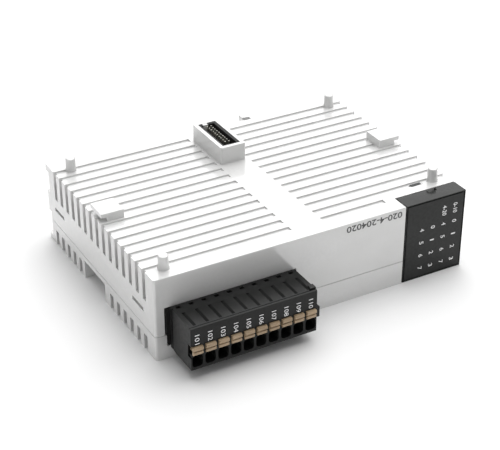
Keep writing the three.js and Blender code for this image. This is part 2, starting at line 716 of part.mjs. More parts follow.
function snapArms() {
  const top = SNAP_WINDOW_BOTTOM + SNAP_WINDOW_HEIGHT;
  const barbTop = top - CLEARANCE;
  const armStart = SIDE_WALL + CLEARANCE;
  const armEnd = armStart + SNAP_ARM;
  const barbStart = SIDE_WALL - SNAP_BARB;
  return bothEnds((at) =>
    addAll(
      snapYs(at).flatMap((y) => {
        const y0 = y + CLEARANCE;
        const y1 = y + SNAP_WIDTH - CLEARANCE;
        return [
          box(...at(SIDE_WALL - SEAT_GAP, armEnd), y0, y1, FACE_WALL - SEAT_GAP, LOWER_TOP),
          box(...at(armStart, armEnd), y0, y1, LOWER_TOP - SEAT_GAP, top),
          box(...at(barbStart, armEnd), y0, y1, SNAP_WINDOW_BOTTOM + SEAT_GAP, barbTop),
        ];
      }),
    ),
  );
}

function socketOpening() {
  const width = SHROUD_WIDTH / 2 + CLEARANCE;
  const length = SHROUD_LENGTH / 2 + CLEARANCE;
  return box(
    BUS_X - width, BUS_X + width, BUS_Y - length, BUS_Y + length, -CUT_PAST, FACE_WALL + CUT_PAST,
  );
}

function socketWalls() {
  const width = SHROUD_WIDTH / 2 + CLEARANCE;
  const length = SHROUD_LENGTH / 2 + CLEARANCE;
  const w = SIDE_WALL - 2 * CLEARANCE;
  const grown = box(
    BUS_X - width - w, BUS_X + width + w, BUS_Y - length - w, BUS_Y + length + w,
    FACE_WALL - SEAT_GAP, SHROUD_HEIGHT,
  );
  return grown.subtract(
    box(BUS_X - width, BUS_X + width, BUS_Y - length, BUS_Y + length, 0, SHROUD_HEIGHT + CUT_PAST),
  );
}

function lowerCase() {
  const block = prism(roundedRect(0, LENGTH, 0, DEPTH, CORNER_RADIUS), "z", 0, LOWER_TOP);
  const shell = block.subtract(hollow(FACE_WALL, LOWER_TOP + CUT_PAST));
  const screwBosses = SCREW_PLACES.map(([x, y]) =>
    rod(x, y, SCREW_BOSS_RADIUS, FACE_WALL - SEAT_GAP, BOARD_UNDERSIDE - SEAT_GAP),
  );
  const pegBosses = PEGS.map(([x, y]) => rod(x, y, PEG_BOSS_RADIUS, FACE_WALL - SEAT_GAP, PEG_BOSS_HEIGHT));
  const inside = [...screwBosses, ...pegBosses, ...pocketWalls(), ...snapArms(), socketWalls()];
  const dressed = addAll([shell, ...inside]);
  return cutAll(dressed, [
    railChannel(),
    latchRecess(),
    windowSeat(),
    lightOpening(),
    catchCuts(),
    headerOpening(),
    socketOpening(),
    ...hookPockets(),
    ...lowerVents(),
    ...PEGS.map(([x, y]) => rod(x, y, PEG_RADIUS + CLEARANCE, -CUT_PAST, PEG_BOSS_HEIGHT + CUT_PAST)),
    ...SCREW_PLACES.map(([x, y]) =>
      rod(x, y, SCREW_RADIUS + SEAT_GAP, BOARD_UNDERSIDE - SCREW_DEPTH - CLEARANCE, BOARD_UNDERSIDE),
    ),
  ]);
}
add("lower_case", lowerCase(), CASE_PLASTIC);

// ---------------------------------------------------------------- rail latch and its spring
const LATCH_BACK = LATCH_WALL + CLEARANCE;
const LATCH_FACE = DEPTH - CLEARANCE;

function railLatch() {
  const half = LATCH_WIDTH / 2;
  const noseEnd = CHANNEL_START + CLEARANCE + LATCH_NOSE;
  const noseBack = CHANNEL_FLOOR + RAIL_SHEET + CLEARANCE;
  const body = box(
    LATCH_TAB_INSET, CHANNEL_START, LATCH_BACK, LATCH_FACE,
    LATCH_CENTRE_Z - half, LATCH_CENTRE_Z + half,
  );
  const nose = prism(
    outline([
      [CHANNEL_START - SEAT_GAP, noseBack],
      [noseEnd, noseBack],
      [noseEnd, noseBack + LATCH_FLANGE],
      [CHANNEL_START + CLEARANCE, LATCH_FACE],
      [CHANNEL_START - SEAT_GAP, LATCH_FACE],
    ]),
    "z",
    LATCH_CENTRE_Z - half,
    LATCH_CENTRE_Z + half,
  );
  const flange = box(
    GUIDE_START, GUIDE_END, LATCH_BACK, LATCH_BACK + LATCH_FLANGE_THICKNESS,
    LATCH_CENTRE_Z - half - LATCH_FLANGE, LATCH_CENTRE_Z + half + LATCH_FLANGE,
  );
  const pocket = box(
    LATCH_POCKET_START, LATCH_POCKET_START + LATCH_POCKET_LENGTH, LATCH_WALL, DEPTH,
    LATCH_CENTRE_Z - LATCH_POCKET_WIDTH / 2, LATCH_CENTRE_Z + LATCH_POCKET_WIDTH / 2,
  );
  return addAll([body, nose, flange]).subtract(pocket);
}
add("din_latch", railLatch(), CASE_PLASTIC);

// A flat serpentine of wire between the case's post and the far end of the latch's pocket.
function latchSpring() {
  const start = LATCH_POCKET_START + CLEARANCE + LATCH_POST + CLEARANCE;
  const end = LATCH_POCKET_START + LATCH_POCKET_LENGTH - CLEARANCE;
  const y = (LATCH_BACK + LATCH_FACE) / 2;
  const w = LATCH_SPRING_WIRE;
  const reach = LATCH_POCKET_WIDTH / 2 - CLEARANCE;
  const step = (end - start - w) / LATCH_SPRING_TURNS;
  const bars = count(LATCH_SPRING_TURNS + 1).map((i) =>
    box(
      start + i * step, start + i * step + w, y - w / 2, y + w / 2,
      LATCH_CENTRE_Z - reach, LATCH_CENTRE_Z + reach,
    ),
  );
  const links = count(LATCH_SPRING_TURNS).map((i) => {
    const side = i % 2 === 0 ? LATCH_CENTRE_Z + reach - w : LATCH_CENTRE_Z - reach;
    return box(start + i * step, start + (i + 1) * step + w, y - w / 2, y + w / 2, side, side + w);
  });
  return addAll([...bars, ...links]);
}
add("din_latch_spring", latchSpring(), SPRING_STEEL);

// ---------------------------------------------------------------- indicator window and what lights it
function indicatorWindow() {
  const w = WINDOW_WALL;
  const cap = box(WINDOW_START, LENGTH, 0, WINDOW_DEPTH, 0, THICKNESS).subtract(
    box(WINDOW_START + w, LENGTH - w, w, WINDOW_DEPTH + CUT_PAST, w, THICKNESS - w),
  );
  const notchEnd = LENGTH - WINDOW_NOTCH_INSET;
  const notch = box(
    notchEnd - WINDOW_NOTCH_WIDTH, notchEnd, WINDOW_DEPTH - WINDOW_NOTCH_DEPTH, WINDOW_DEPTH + CUT_PAST,
    THICKNESS - w - CUT_PAST, THICKNESS + CUT_PAST,
  );
  const line = (inset) =>
    box(
      WINDOW_START + inset, LENGTH - inset, -CUT_PAST, WINDOW_LINE_DEPTH, inset, THICKNESS - inset,
    );
  const frameLine = line(WINDOW_LINE_INSET).subtract(line(WINDOW_LINE_INSET + WINDOW_LINE_WIDTH));
  const x0 = CATCH_START + CLEARANCE;
  const x1 = CATCH_END - CLEARANCE;
  const armBack = CATCH_FRONT + CATCH_LENGTH - SEAT_GAP;
  const barbFront = CATCH_FRONT + SEAT_GAP;
  const arm = (inner, outer, barb) =>
    addAll([
      box(x0, x1, WINDOW_WALL - SEAT_GAP, armBack, inner, outer),
      box(x0, x1, barbFront, armBack, Math.min(inner, barb), Math.max(outer, barb)),
    ]);
  const top = CEILING - CLEARANCE;
  const bottom = FACE_WALL + CLEARANCE;
  return addAll([
    cutAll(cap, [notch, frameLine]),
    arm(top - CATCH_ARM, top, THICKNESS - CATCH_BELOW_FACE),
    arm(bottom, bottom + CATCH_ARM, CATCH_BELOW_FACE),
  ]);
}

// Room for the window's two catch arms in what lies behind the window.
function armSpace() {
  const reach = CATCH_ARM + 2 * CLEARANCE;
  return [
    [0, FACE_WALL + reach],
    [CEILING - reach, THICKNESS],
  ].map(([z0, z1]) => box(CATCH_START, CATCH_END, 0, DEPTH, z0, z1));
}

function lightGuide() {
  const block = box(
    LIGHT_BLOCK.x0, LIGHT_BLOCK.x1, WINDOW_WALL + CLEARANCE, WINDOW_DEPTH,
    LIGHT_BLOCK.z0, LIGHT_BLOCK.z1,
  );
  const holes = count(LIGHT_COLUMNS).flatMap((i) =>
    count(LIGHT_ROWS).map((j) => {
      const x = LIGHT_FIRST_X + i * LIGHT_PITCH_X;
      const z = LIGHT_FIRST_Z + j * LIGHT_PITCH_Z;
      return slab(x, LIGHT_HOLE, 0, DEPTH, z - LIGHT_HOLE / 2, z + LIGHT_HOLE / 2);
    }),
  );
  return cutAll(block, [...holes, ...armSpace()]);
}

function indicatorBoard() {
  const front = WINDOW_DEPTH + CLEARANCE;
  const board = box(
    LIGHT_BLOCK.x0, LIGHT_BLOCK.x1, front, front + INDICATOR_BOARD_THICKNESS,
    LIGHT_BLOCK.z0, LIGHT_BLOCK.z1,
  );
  return cutAll(board, armSpace());
}
add("indicator_window", indicatorWindow(), WINDOW_PLASTIC);
add("light_guide", lightGuide(), DIFFUSER_PLASTIC);
add("indicator_board", indicatorBoard(), BOARD_LAMINATE);

// ---------------------------------------------------------------- main board
const BOARD_START = SIDE_WALL + BOARD_SIDE_GAP;
const BOARD_BACK = INNER_BACK - CLEARANCE;

function mainBoard() {
  const board = box(BOARD_START, LENGTH - BOARD_START, BOARD_FRONT_Y, BOARD_BACK, BOARD_UNDERSIDE, BOARD_TOP);
  const pinHoles = count(POLES).map((i) =>
    slab(
      poleX(i), PIN + 2 * PIN_HOLE_GAP,
      PIN_BEND_Y - PIN / 2 - PIN_HOLE_GAP, PIN_BEND_Y + PIN / 2 + PIN_HOLE_GAP,
      BOARD_UNDERSIDE - CUT_PAST, BOARD_TOP + CUT_PAST,
    ),
  );
  const screwHoles = SCREW_PLACES.map(([x, y]) =>
    rod(x, y, SCREW_RADIUS + CLEARANCE, BOARD_UNDERSIDE - CUT_PAST, BOARD_TOP + CUT_PAST),
  );
  return cutAll(board, [...pinHoles, ...screwHoles]);
}
add("main_board", mainBoard(), BOARD_LAMINATE);

SCREW_PLACES.forEach(([x, y], i) => {
  const head = BOARD_TOP + SEAT_GAP;
  const screw = turned(x, y, [
    [0, BOARD_UNDERSIDE - SCREW_DEPTH],
    [SCREW_RADIUS, BOARD_UNDERSIDE - SCREW_DEPTH + SCREW_RADIUS],
    [SCREW_RADIUS, head],
    [SCREW_HEAD_RADIUS, head],
    [SCREW_HEAD_RADIUS, head + SCREW_HEAD_HEIGHT / 2],
    [SCREW_HEAD_RADIUS / 2, head + SCREW_HEAD_HEIGHT],
    [0, head + SCREW_HEAD_HEIGHT],
  ]);
  add(`board_screw_${i + 1}`, screw, TIN_PLATE);
});

// ---------------------------------------------------------------- bus connectors
function busRow(x, z0, z1, barZ) {
  const half = ((BUS_WAYS - 1) * BUS_PITCH) / 2;
  const pins = count(BUS_WAYS).map((i) => {
    const y = BUS_ROWS_Y - half + i * BUS_PITCH;
    return slab(x, BUS_PIN, y - BUS_PIN / 2, y + BUS_PIN / 2, z0, z1);
  });
  const bar = slab(x, BUS_BAR, BUS_ROWS_Y - half, BUS_ROWS_Y + half, barZ, barZ + BUS_PIN);
  return addAll([...pins, bar]);
}

function rowSlot(x, z0, z1) {
  const half = (BUS_WAYS * BUS_PITCH) / 2;
  return slab(x, BUS_PIN + 2 * SEAT_GAP, BUS_ROWS_Y - half, BUS_ROWS_Y + half, z0, z1);
}

function busHeader() {
  const width = SHROUD_WIDTH / 2 - SHROUD_WALL - SEAT_GAP;
  const length = SHROUD_LENGTH / 2 - SHROUD_WALL - SEAT_GAP;
  const top = RIM - BUS_HEADER_BELOW_RIM;
  const w = BUS_HEADER_WALL;
  const body = box(BUS_X - width, BUS_X + width, BUS_Y - length, BUS_Y + length, BOARD_TOP + SEAT_GAP, top);
  const keySpace = slab(
    BUS_X - BUS_KEY_SIDE, BUS_KEY_WIDTH + 2 * SEAT_GAP,
    BUS_Y + SHROUD_LENGTH / 2 - SHROUD_WALL - BUS_KEY_REACH - SEAT_GAP, DEPTH,
    CEILING - SEAT_GAP, RIM + CUT_PAST,
  );
  return cutAll(body, [
    box(
      BUS_X - width + w, BUS_X + width - w, BUS_Y - length + w, BUS_Y + length - w,
      THICKNESS, RIM + CUT_PAST,
    ),
    keySpace,
    ...BUS_ROW_X.map((x) => rowSlot(x, 0, RIM)),
  ]);
}
add("bus_header", busHeader(), BLACK_PLASTIC);

const SOCKET_BOTTOM = SOCKET_SETBACK;
const SOCKET_TOP = BOARD_UNDERSIDE - SEAT_GAP;

function busSocket() {
  const body = slab(
    BUS_X, SOCKET_BODY_WIDTH,
    BUS_ROWS_Y - SOCKET_BODY_LENGTH / 2, BUS_ROWS_Y + SOCKET_BODY_LENGTH / 2,
    SOCKET_BOTTOM, SOCKET_TOP,
  );
  const half = ((BUS_WAYS - 1) * BUS_PITCH) / 2;
  const mouths = BUS_ROW_X.flatMap((x) =>
    count(BUS_WAYS).map((i) => {
      const y = BUS_ROWS_Y - half + i * BUS_PITCH;
      return slab(
        x, SOCKET_HOLE, y - SOCKET_HOLE / 2, y + SOCKET_HOLE / 2,
        SOCKET_BOTTOM - CUT_PAST, SOCKET_BOTTOM + CUT_PAST,
      );
    }),
  );
  const rows = BUS_ROW_X.map((x) => rowSlot(x, SOCKET_BOTTOM + CUT_PAST / 2, BOARD_UNDERSIDE));
  return cutAll(body, [...mouths, ...rows]);
}
add("bus_socket", busSocket(), BLACK_PLASTIC);

["left", "right"].forEach((side, i) => {
  const pinTop = RIM - BUS_PIN_BELOW_RIM;
  add(`bus_pins_${side}`, busRow(BUS_ROW_X[i], BOARD_TOP + SEAT_GAP, pinTop, CEILING), GOLD_PLATE);
  const contactBottom = SOCKET_BOTTOM + CUT_PAST;
  const bar = SOCKET_TOP - 2 * BUS_PIN;
  add(`bus_contacts_${side}`, busRow(BUS_ROW_X[i], contactBottom, SOCKET_TOP, bar), GOLD_PLATE);
});

// ---------------------------------------------------------------- parts on the board
const onBoard = BOARD_TOP + SEAT_GAP;
const placed = (x, y, width, length, height, z0 = onBoard) =>
  box(x - width / 2, x + width / 2, y - length / 2, y + length / 2, z0, z0 + height);

function chip(x, y, width, length, height) {
  const body = placed(x, y, width - 2 * CHIP_LEAD, length, height - CHIP_FOOT, onBoard + CHIP_FOOT);
  return body.add(placed(x, y, width, length - CHIP_END, CHIP_LEAD_HEIGHT));
}

function capacitor(x, y, radius, height) {
  const base = CAN_BASE;
  const plate = placed(x, y, 2 * radius + CAN_RIM, 2 * radius + CAN_RIM, base);
  const can = turned(x, y, [
    [0, onBoard + base / 2],
    [radius, onBoard + base / 2],
    [radius, onBoard + base + 3 * CAN_BEAD],
    [radius - CAN_BEAD, onBoard + base + 4 * CAN_BEAD],
    [radius, onBoard + base + 5 * CAN_BEAD],
    [radius, onBoard + height - CAN_RIM],
    [radius - CAN_RIM, onBoard + height],
    [0, onBoard + height],
  ], CAN_SIDES);
  return plate.add(can);
}

function coil(x, y, width, height) {
  const base = placed(x, y, width, width, height / 4);
  const drum = rod(x, y, width / 2 - CAN_BEAD, onBoard + height / 5, onBoard + height, CAN_SIDES);
  return base.add(drum);
}

const headroom = CEILING - onBoard;
const tall = headroom - CAPACITOR_HEADROOM;
const low = headroom - CONVERTER_HEADROOM;
const POWER = { width: 12.7, length: 19.5, right: 16, y: 30 };
const COIL = { width: 7.2, height: 4, right: 40, y: 30 };
const CANS = [
  { radius: 4, height: tall, right: 14, back: 16.8 },
  { radius: 3.15, height: low, right: 26, back: 14.8 },
];

// chip(x, y, width, length, height)
const CHIPS = {
  microcontroller: chip(LENGTH - 30, DEPTH - 30.8, 11.6, 9.8, 1.6),
  input_converter: chip(26, 27, 7.8, 9.7, 2),
  output_converter: chip(12, 27, 7.8, 7.8, 2),
  signal_isolator: chip(BUS_X - 13.6, DEPTH - 30.9, 10.3, 10.1, 2.4),
  power_converter: placed(LENGTH - POWER.right, POWER.y, POWER.width, POWER.length, low),
  filter_coil: coil(LENGTH - COIL.right, COIL.y, COIL.width, COIL.height),
};
Object.entries(CHIPS).forEach(([name, body]) => add(name, body, CHIP_PLASTIC));
CANS.forEach((can, i) => {
  const body = capacitor(LENGTH - can.right, DEPTH - can.back, can.radius, can.height);
  add(`bulk_capacitor_${i + 1}`, body, TIN_PLATE);
});
// Right-angled strip that feeds the indicator board.
function indicatorLink() {
  const width = LIGHT_BLOCK.x1 - LIGHT_BLOCK.x0 - 2 * LINK_INSET;
  const x = (LIGHT_BLOCK.x0 + LIGHT_BLOCK.x1) / 2;
  const front = BOARD_FRONT_Y + CLEARANCE;
  const boardBack = WINDOW_DEPTH + CLEARANCE + INDICATOR_BOARD_THICKNESS + SEAT_GAP;
  const middle = onBoard + LINK_BODY / 2;
  const body = slab(x, width, front, front + LINK_BODY, onBoard, onBoard + LINK_BODY);
  const pitch = width / LINK_LEGS;
  const legs = count(LINK_LEGS).map((i) =>
    slab(
      x + (i - (LINK_LEGS - 1) / 2) * pitch, LINK_LEG, boardBack, front + CUT_PAST,
      middle - LINK_LEG / 2, middle + LINK_LEG / 2,
    ),
  );
  return addAll([body, ...legs]);
}
add("indicator_link", indicatorLink(), BLACK_PLASTIC);

// ---------------------------------------------------------------- terminal header and its pins
function terminalHeader() {
  const b = HEADER_BODY;
  const c = HEADER_CAVITY;
  const f = HEADER_FLANGE;
  const front = -HEADER_FLANGE_PROUD;
  const body = box(b.x0, b.x1, front, b.depth, b.z0, b.z1);
  const flange = box(f.x0, f.x1, front, front + HEADER_FLANGE_THICKNESS, f.z0, f.z1);
  const cavity = box(c.x0, c.x1, front - CUT_PAST, c.depth, c.z0, c.z1);
  const hole = PIN + 2 * PIN_HOLE_GAP;
  const pinHoles = count(POLES).map((i) =>
    slab(
      poleX(i), hole, c.depth - CUT_PAST, b.depth + CUT_PAST,
      PIN_HEIGHT - hole / 2, PIN_HEIGHT + hole / 2,
    ),
  );
  return cutAll(body.add(flange), [cavity, ...pinHoles]);
}
add("terminal_header", terminalHeader(), BLACK_PLASTIC);

function headerPin(x) {
  const low = PIN_HEIGHT - PIN / 2;
  return addAll([
    slab(x, PIN, PIN_REACH_Y, PIN_BEND_Y + PIN / 2, low, low + PIN),
    slab(x, PIN, PIN_BEND_Y - PIN / 2, PIN_BEND_Y + PIN / 2, BOARD_UNDERSIDE - PIN_TAIL, low + PIN),
  ]);
}

// ---------------------------------------------------------------- terminal plug, its levers and clamps
const PLUG_REAR_END = HEADER_INSERT_DEPTH;
const LEVER_RECESS_BACK = PLUG_FRONT_Y - LEVER_PROUD + LEVER_CAP + LEVER_TRAVEL + CLEARANCE;
const LEVER_STEM_MIDDLE = LEVER_BOTTOM + LEVER_HEIGHT / 2;

function poleCuts(x) {
  const hole = PIN + 2 * PIN_HOLE_GAP;
  const chamberFront = PLUG_FRONT_Y + PLUG_FRONT_WALL;
  const stemHalf = LEVER_STEM_HEIGHT / 2 + LEVER_GAP;
  const wireTop = WIRE_HOLE_BOTTOM + WIRE_HOLE_HEIGHT;
  const wireHalf = WIRE_HOLE_WIDTH / 2;
  return [
    slab(x, PLUG_CHAMBER_WIDTH, chamberFront, PLUG_BACK - SIDE_WALL, PLUG_CHAMBER_BOTTOM, PLUG_CHAMBER_TOP),
    slab(
      x, hole, PLUG_BACK - SIDE_WALL - CUT_PAST, PLUG_REAR_END + CUT_PAST,
      PIN_HEIGHT - hole / 2, PIN_HEIGHT + hole / 2,
    ),
    prism(
      roundedRect(x - wireHalf, x + wireHalf, WIRE_HOLE_BOTTOM, wireTop, WIRE_HOLE_RADIUS),
      "y", PLUG_FRONT_Y - CUT_PAST, chamberFront + SEAT_GAP,
    ),
    slab(
      x, LEVER_WIDTH + 2 * LEVER_GAP, PLUG_FRONT_Y - CUT_PAST, LEVER_RECESS_BACK,
      LEVER_BOTTOM - LEVER_GAP, LEVER_BOTTOM + LEVER_HEIGHT + LEVER_GAP,
    ),
    slab(
      x, LEVER_STEM_WIDTH + 2 * LEVER_GAP, LEVER_RECESS_BACK - SEAT_GAP, chamberFront + SEAT_GAP,
      LEVER_STEM_MIDDLE - stemHalf, LEVER_STEM_MIDDLE + stemHalf,
    ),
    slab(
      x, TEST_HOLE_WIDTH, TEST_HOLE_Y - TEST_HOLE_LENGTH / 2, TEST_HOLE_Y + TEST_HOLE_LENGTH / 2,
      PLUG_TOP - TEST_HOLE_DEPTH, PLUG_TOP + CUT_PAST,
    ),
  ];
}

// A groove over each pole, steeper on its left side.
function gripGroove(x) {
  const left = x - GRIP_WIDTH / 2;
  const right = x + GRIP_WIDTH / 2;
  const shape = outline([
    [left + GRIP_WIDTH / 4, PLUG_TOP - GRIP_DEPTH],
    [right, PLUG_TOP],
    [right, PLUG_TOP + CUT_PAST],
    [left, PLUG_TOP + CUT_PAST],
    [left, PLUG_TOP],
  ]);
  return prism(shape, "y", GRIP_START_Y, GRIP_START_Y + GRIP_LENGTH);
}

function terminalPlug() {
  const lowBack = PLUG_BOTTOM + LOW_BACK_RISE;
  const browBack = PLUG_FRONT_Y + BROW_DEPTH;
  const side = outline([
    [PLUG_FRONT_Y, PLUG_BOTTOM],
    [PLUG_SIDE_GROOVE_Y - SIDE_WALL, PLUG_BOTTOM],
    [PLUG_SIDE_GROOVE_Y, lowBack],
    [PLUG_BACK, lowBack],
    [PLUG_BACK, PLUG_TOP],
    [browBack + BROW_LINE, PLUG_TOP],
    [browBack + BROW_LINE, PLUG_TOP - BROW_LINE_DEPTH],
    [browBack, PLUG_TOP - BROW_LINE_DEPTH],
    [browBack, PLUG_TOP],
    [PLUG_FRONT_Y, PLUG_TOP - BROW_FALL],
  ]);
  const body = prism(side, "x", PLUG_START, PLUG_END);
  const insert = box(
    PLUG_START + HEADER_INSERT_INSET, PLUG_END - HEADER_INSERT_INSET,
    PLUG_BACK - CUT_PAST, PLUG_REAR_END, HEADER_INSERT_BOTTOM, HEADER_INSERT_TOP,
  );
  const grips = count(POLES).map((i) => gripGroove(poleX(i)));
  const earBack = PLUG_FRONT_Y + EAR_LENGTH;
  const ear = box(
    PLUG_END - CUT_PAST, PLUG_END + EAR_REACH, PLUG_FRONT_Y + CLEARANCE, earBack,
    EAR_BOTTOM, EAR_BOTTOM + EAR_HEIGHT,
  );
  const earNotch = box(
    PLUG_START - CUT_PAST, PLUG_START + LEVER_GAP + CLEARANCE, PLUG_FRONT_Y - CUT_PAST, earBack,
    EAR_BOTTOM - CLEARANCE, EAR_BOTTOM + EAR_HEIGHT + CLEARANCE,
  );
  const lugFront = browBack + BROW_LINE;
  const lug = box(
    PLUG_END - LUG_LENGTH, PLUG_END, lugFront, lugFront + LUG_LENGTH,
    PLUG_TOP - SEAT_GAP, PLUG_TOP + LUG_HEIGHT,
  );
  const grooveHalf = PLUG_SIDE_GROOVE / 2;
  const sideGrooves = [PLUG_START, PLUG_END].map((x) =>
    slab(
      x, 2 * PLUG_SIDE_GROOVE, PLUG_SIDE_GROOVE_Y - grooveHalf, PLUG_SIDE_GROOVE_Y + grooveHalf,
      PLUG_BOTTOM - CUT_PAST, PLUG_TOP + CUT_PAST,
    ),
  );
  const cuts = count(POLES).flatMap((i) => poleCuts(poleX(i)));
  return cutAll(addAll([body, insert, ear, lug]), [...cuts, ...grips, earNotch, ...sideGrooves]);
}
add("terminal_plug", terminalPlug(), BLACK_PLASTIC);

// The cap has two rounded finger bars with a groove between them.
function releaseLever(x) {
  const front = PLUG_FRONT_Y - LEVER_PROUD;
  const back = front + LEVER_CAP;
  const top = LEVER_BOTTOM + LEVER_HEIGHT;
  const middle = LEVER_STEM_MIDDLE;
  const r = LEVER_ROUND;
  const upper = middle + LEVER_GROOVE / 2;
  const lower = middle - LEVER_GROOVE / 2;
  const grooveBack = front + LEVER_GROOVE_DEPTH;
  const lowFront = front + LEVER_STEP;
  const cap = prism(
    outline([
      [lowFront + r, LEVER_BOTTOM],
      [back, LEVER_BOTTOM],
      [back, top],
      [front + r, top],
      [front, top - r],
      [front, upper + r / 2],
      [front + r / 2, upper],
      [grooveBack, upper],
      [grooveBack, lower],
      [lowFront + r / 2, lower],
      [lowFront, lower - r / 2],
      [lowFront, LEVER_BOTTOM + r],
    ]),
    "x",
    x - LEVER_WIDTH / 2,
    x + LEVER_WIDTH / 2,
  );
  const stem = slab(
    x, LEVER_STEM_WIDTH, back - SEAT_GAP, back + LEVER_STEM_LENGTH,
    middle - LEVER_STEM_HEIGHT / 2, middle + LEVER_STEM_HEIGHT / 2,
  );
  return cap.add(stem);
}

// A leaf of sheet bent back on itself: the upper leg lies under the pin, the lower one grips the wire.
function clampSpring(x) {
  const upper = PIN_HEIGHT - PIN / 2 - CLEARANCE / 2 - CLAMP_SHEET / 2;
  const back = PLUG_BACK - SIDE_WALL - CLEARANCE - CLAMP_SHEET / 2;
  const stemEnd = PLUG_FRONT_Y - LEVER_PROUD + LEVER_CAP + LEVER_STEM_LENGTH + LEVER_TRAVEL + CLEARANCE;
  const low = PLUG_CHAMBER_BOTTOM + CLEARANCE + CLAMP_SHEET / 2;
  const line = [
    [PLUG_FRONT_Y + PLUG_FRONT_WALL + CLEARANCE, upper],
    [back - CLAMP_SHEET, upper],
    [back, upper - CLAMP_SHEET],
    [back, LEVER_STEM_MIDDLE],
    [back - CLAMP_SHEET, low + CLAMP_SHEET * 4],
    [stemEnd + CLAMP_SHEET, low],
  ];
  return prism(stripOutline(line, CLAMP_SHEET), "x", x - CLAMP_WIDTH / 2, x + CLAMP_WIDTH / 2);
}

count(POLES).forEach((i) => {
  add(`release_lever_${i + 1}`, releaseLever(poleX(i)), LEVER_PLASTIC);
  add(`clamp_spring_${i + 1}`, clampSpring(poleX(i)), SPRING_STEEL);
  add(`header_pin_${i + 1}`, headerPin(poleX(i)), TIN_PLATE);
});

// ---------------------------------------------------------------- the part's frame
const FRONT_Y = PLUG_FRONT_Y - LEVER_PROUD;
module.position.set(-LENGTH / 2, -(FRONT_Y + DEPTH) / 2, 0);
export default module;
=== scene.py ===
# Analogue expansion module of a compact PLC, lying on its side: a two-part light grey case with
# interlocking pegs and hooks, a push-in terminal plug, an indicator window and a bus connector.
import math

import bmesh
import bpy
from mathutils import Matrix, Vector


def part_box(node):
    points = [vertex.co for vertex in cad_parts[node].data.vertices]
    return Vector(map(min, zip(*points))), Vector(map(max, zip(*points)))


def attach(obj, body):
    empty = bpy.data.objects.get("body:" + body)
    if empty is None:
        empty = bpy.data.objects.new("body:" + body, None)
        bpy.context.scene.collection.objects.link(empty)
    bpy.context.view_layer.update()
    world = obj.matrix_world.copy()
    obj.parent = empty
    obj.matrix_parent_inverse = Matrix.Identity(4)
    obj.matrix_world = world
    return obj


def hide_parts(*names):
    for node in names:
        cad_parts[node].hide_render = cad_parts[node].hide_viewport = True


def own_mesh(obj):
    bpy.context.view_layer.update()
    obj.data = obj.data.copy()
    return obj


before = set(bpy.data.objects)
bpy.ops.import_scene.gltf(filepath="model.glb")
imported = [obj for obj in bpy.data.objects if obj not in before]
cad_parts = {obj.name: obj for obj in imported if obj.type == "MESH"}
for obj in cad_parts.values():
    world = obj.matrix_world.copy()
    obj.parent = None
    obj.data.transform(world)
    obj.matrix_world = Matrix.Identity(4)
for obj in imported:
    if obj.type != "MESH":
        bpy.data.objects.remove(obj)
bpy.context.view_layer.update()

MM = 0.001
MODULE = "module"
PLUG = "terminal_plug"
POLES = 10
BUS_WAYS = 10
LIGHT_COLUMNS = 4
LIGHT_ROWS = 5


# ---------------------------------------------------------------- places that the frame gives
def low(node):
    return Vector(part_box(node)[0])


def high(node):
    return Vector(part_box(node)[1])


def middle(node):
    return (low(node) + high(node)) / 2


CASE_LOW = low("lower_case")
FRONT_Y = low("indicator_window").y


def at(x, y, z):
    """A point in metres from millimetres off the lower case's outer corner."""
    return CASE_LOW + Vector((x, y, z)) * MM


# ---------------------------------------------------------------- finishes
def put(tree, kind, inputs, **settings):
    """One node of a tree: inputs are plain values or the sockets that feed them."""
    made = tree.nodes.new(kind)
    for key, value in settings.items():
        setattr(made, key, value)
    for key, value in inputs.items():
        if isinstance(value, bpy.types.NodeSocket):
            tree.links.new(value, made.inputs[key])
        else:
            made.inputs[key].default_value = value
    return made


MOST_OF_NOISE = (0.35, 0.65)  # noise seldom leaves this part of its range
NEARLY_ALL_OF_NOISE = (0.3, 0.7)
FULL = (0, 1)


def noise(tree, size, detail=2.0, stretch=(1, 1, 1), rough=0.5):
    """Noise whose blots are about that many millimetres across, drawn out by stretch."""
    where = put(tree, "ShaderNodeTexCoord", {}).outputs["Object"]
    turned = put(tree, "ShaderNodeMapping", {"Vector": where, "Scale": stretch}).outputs[0]
    made = put(
        tree, "ShaderNodeTexNoise",
        {"Vector": turned, "Scale": 1 / (size * MM), "Detail": detail, "Roughness": rough},
    )
    return made.outputs["Fac"]


def between(tree, value, span, goal):
    """The value carried over from one range to another, and held at that one's ends."""
    inputs = {
        "Value": value,
        "From Min": span[0], "From Max": span[1],
        "To Min": goal[0], "To Max": goal[1],
    }
    return put(tree, "ShaderNodeMapRange", inputs).outputs["Result"]


def mix_rgb(tree, amount, first, second):
    """A mix of two colours; the node's colour sockets are its seventh and eighth inputs."""
    made = tree.nodes.new("ShaderNodeMix")
    made.data_type = "RGBA"
    for index, value in ((0, amount), (6, first), (7, second)):
        if isinstance(value, bpy.types.NodeSocket):
            tree.links.new(value, made.inputs[index])
        else:
            made.inputs[index].default_value = value
    return made.outputs[2]


def grey(level, tint=(1, 1, 1)):
    return (level * tint[0], level * tint[1], level * tint[2], 1)


def bump_from(tree, layers):
    """Stacks height layers, each (height socket, strength, depth in millimetres)."""
    normal = None
    for height, strength, depth in layers:
        inputs = {"Height": height, "Strength": strength, "Distance": depth * MM}
        if normal is not None:
            inputs["Normal"] = normal
        normal = put(tree, "ShaderNodeBump", inputs).outputs["Normal"]
    return normal


def new_finish(name):
    material = bpy.data.materials.new(name)
    material.use_nodes = True
    return material, material.node_tree, material.node_tree.nodes["Principled BSDF"]


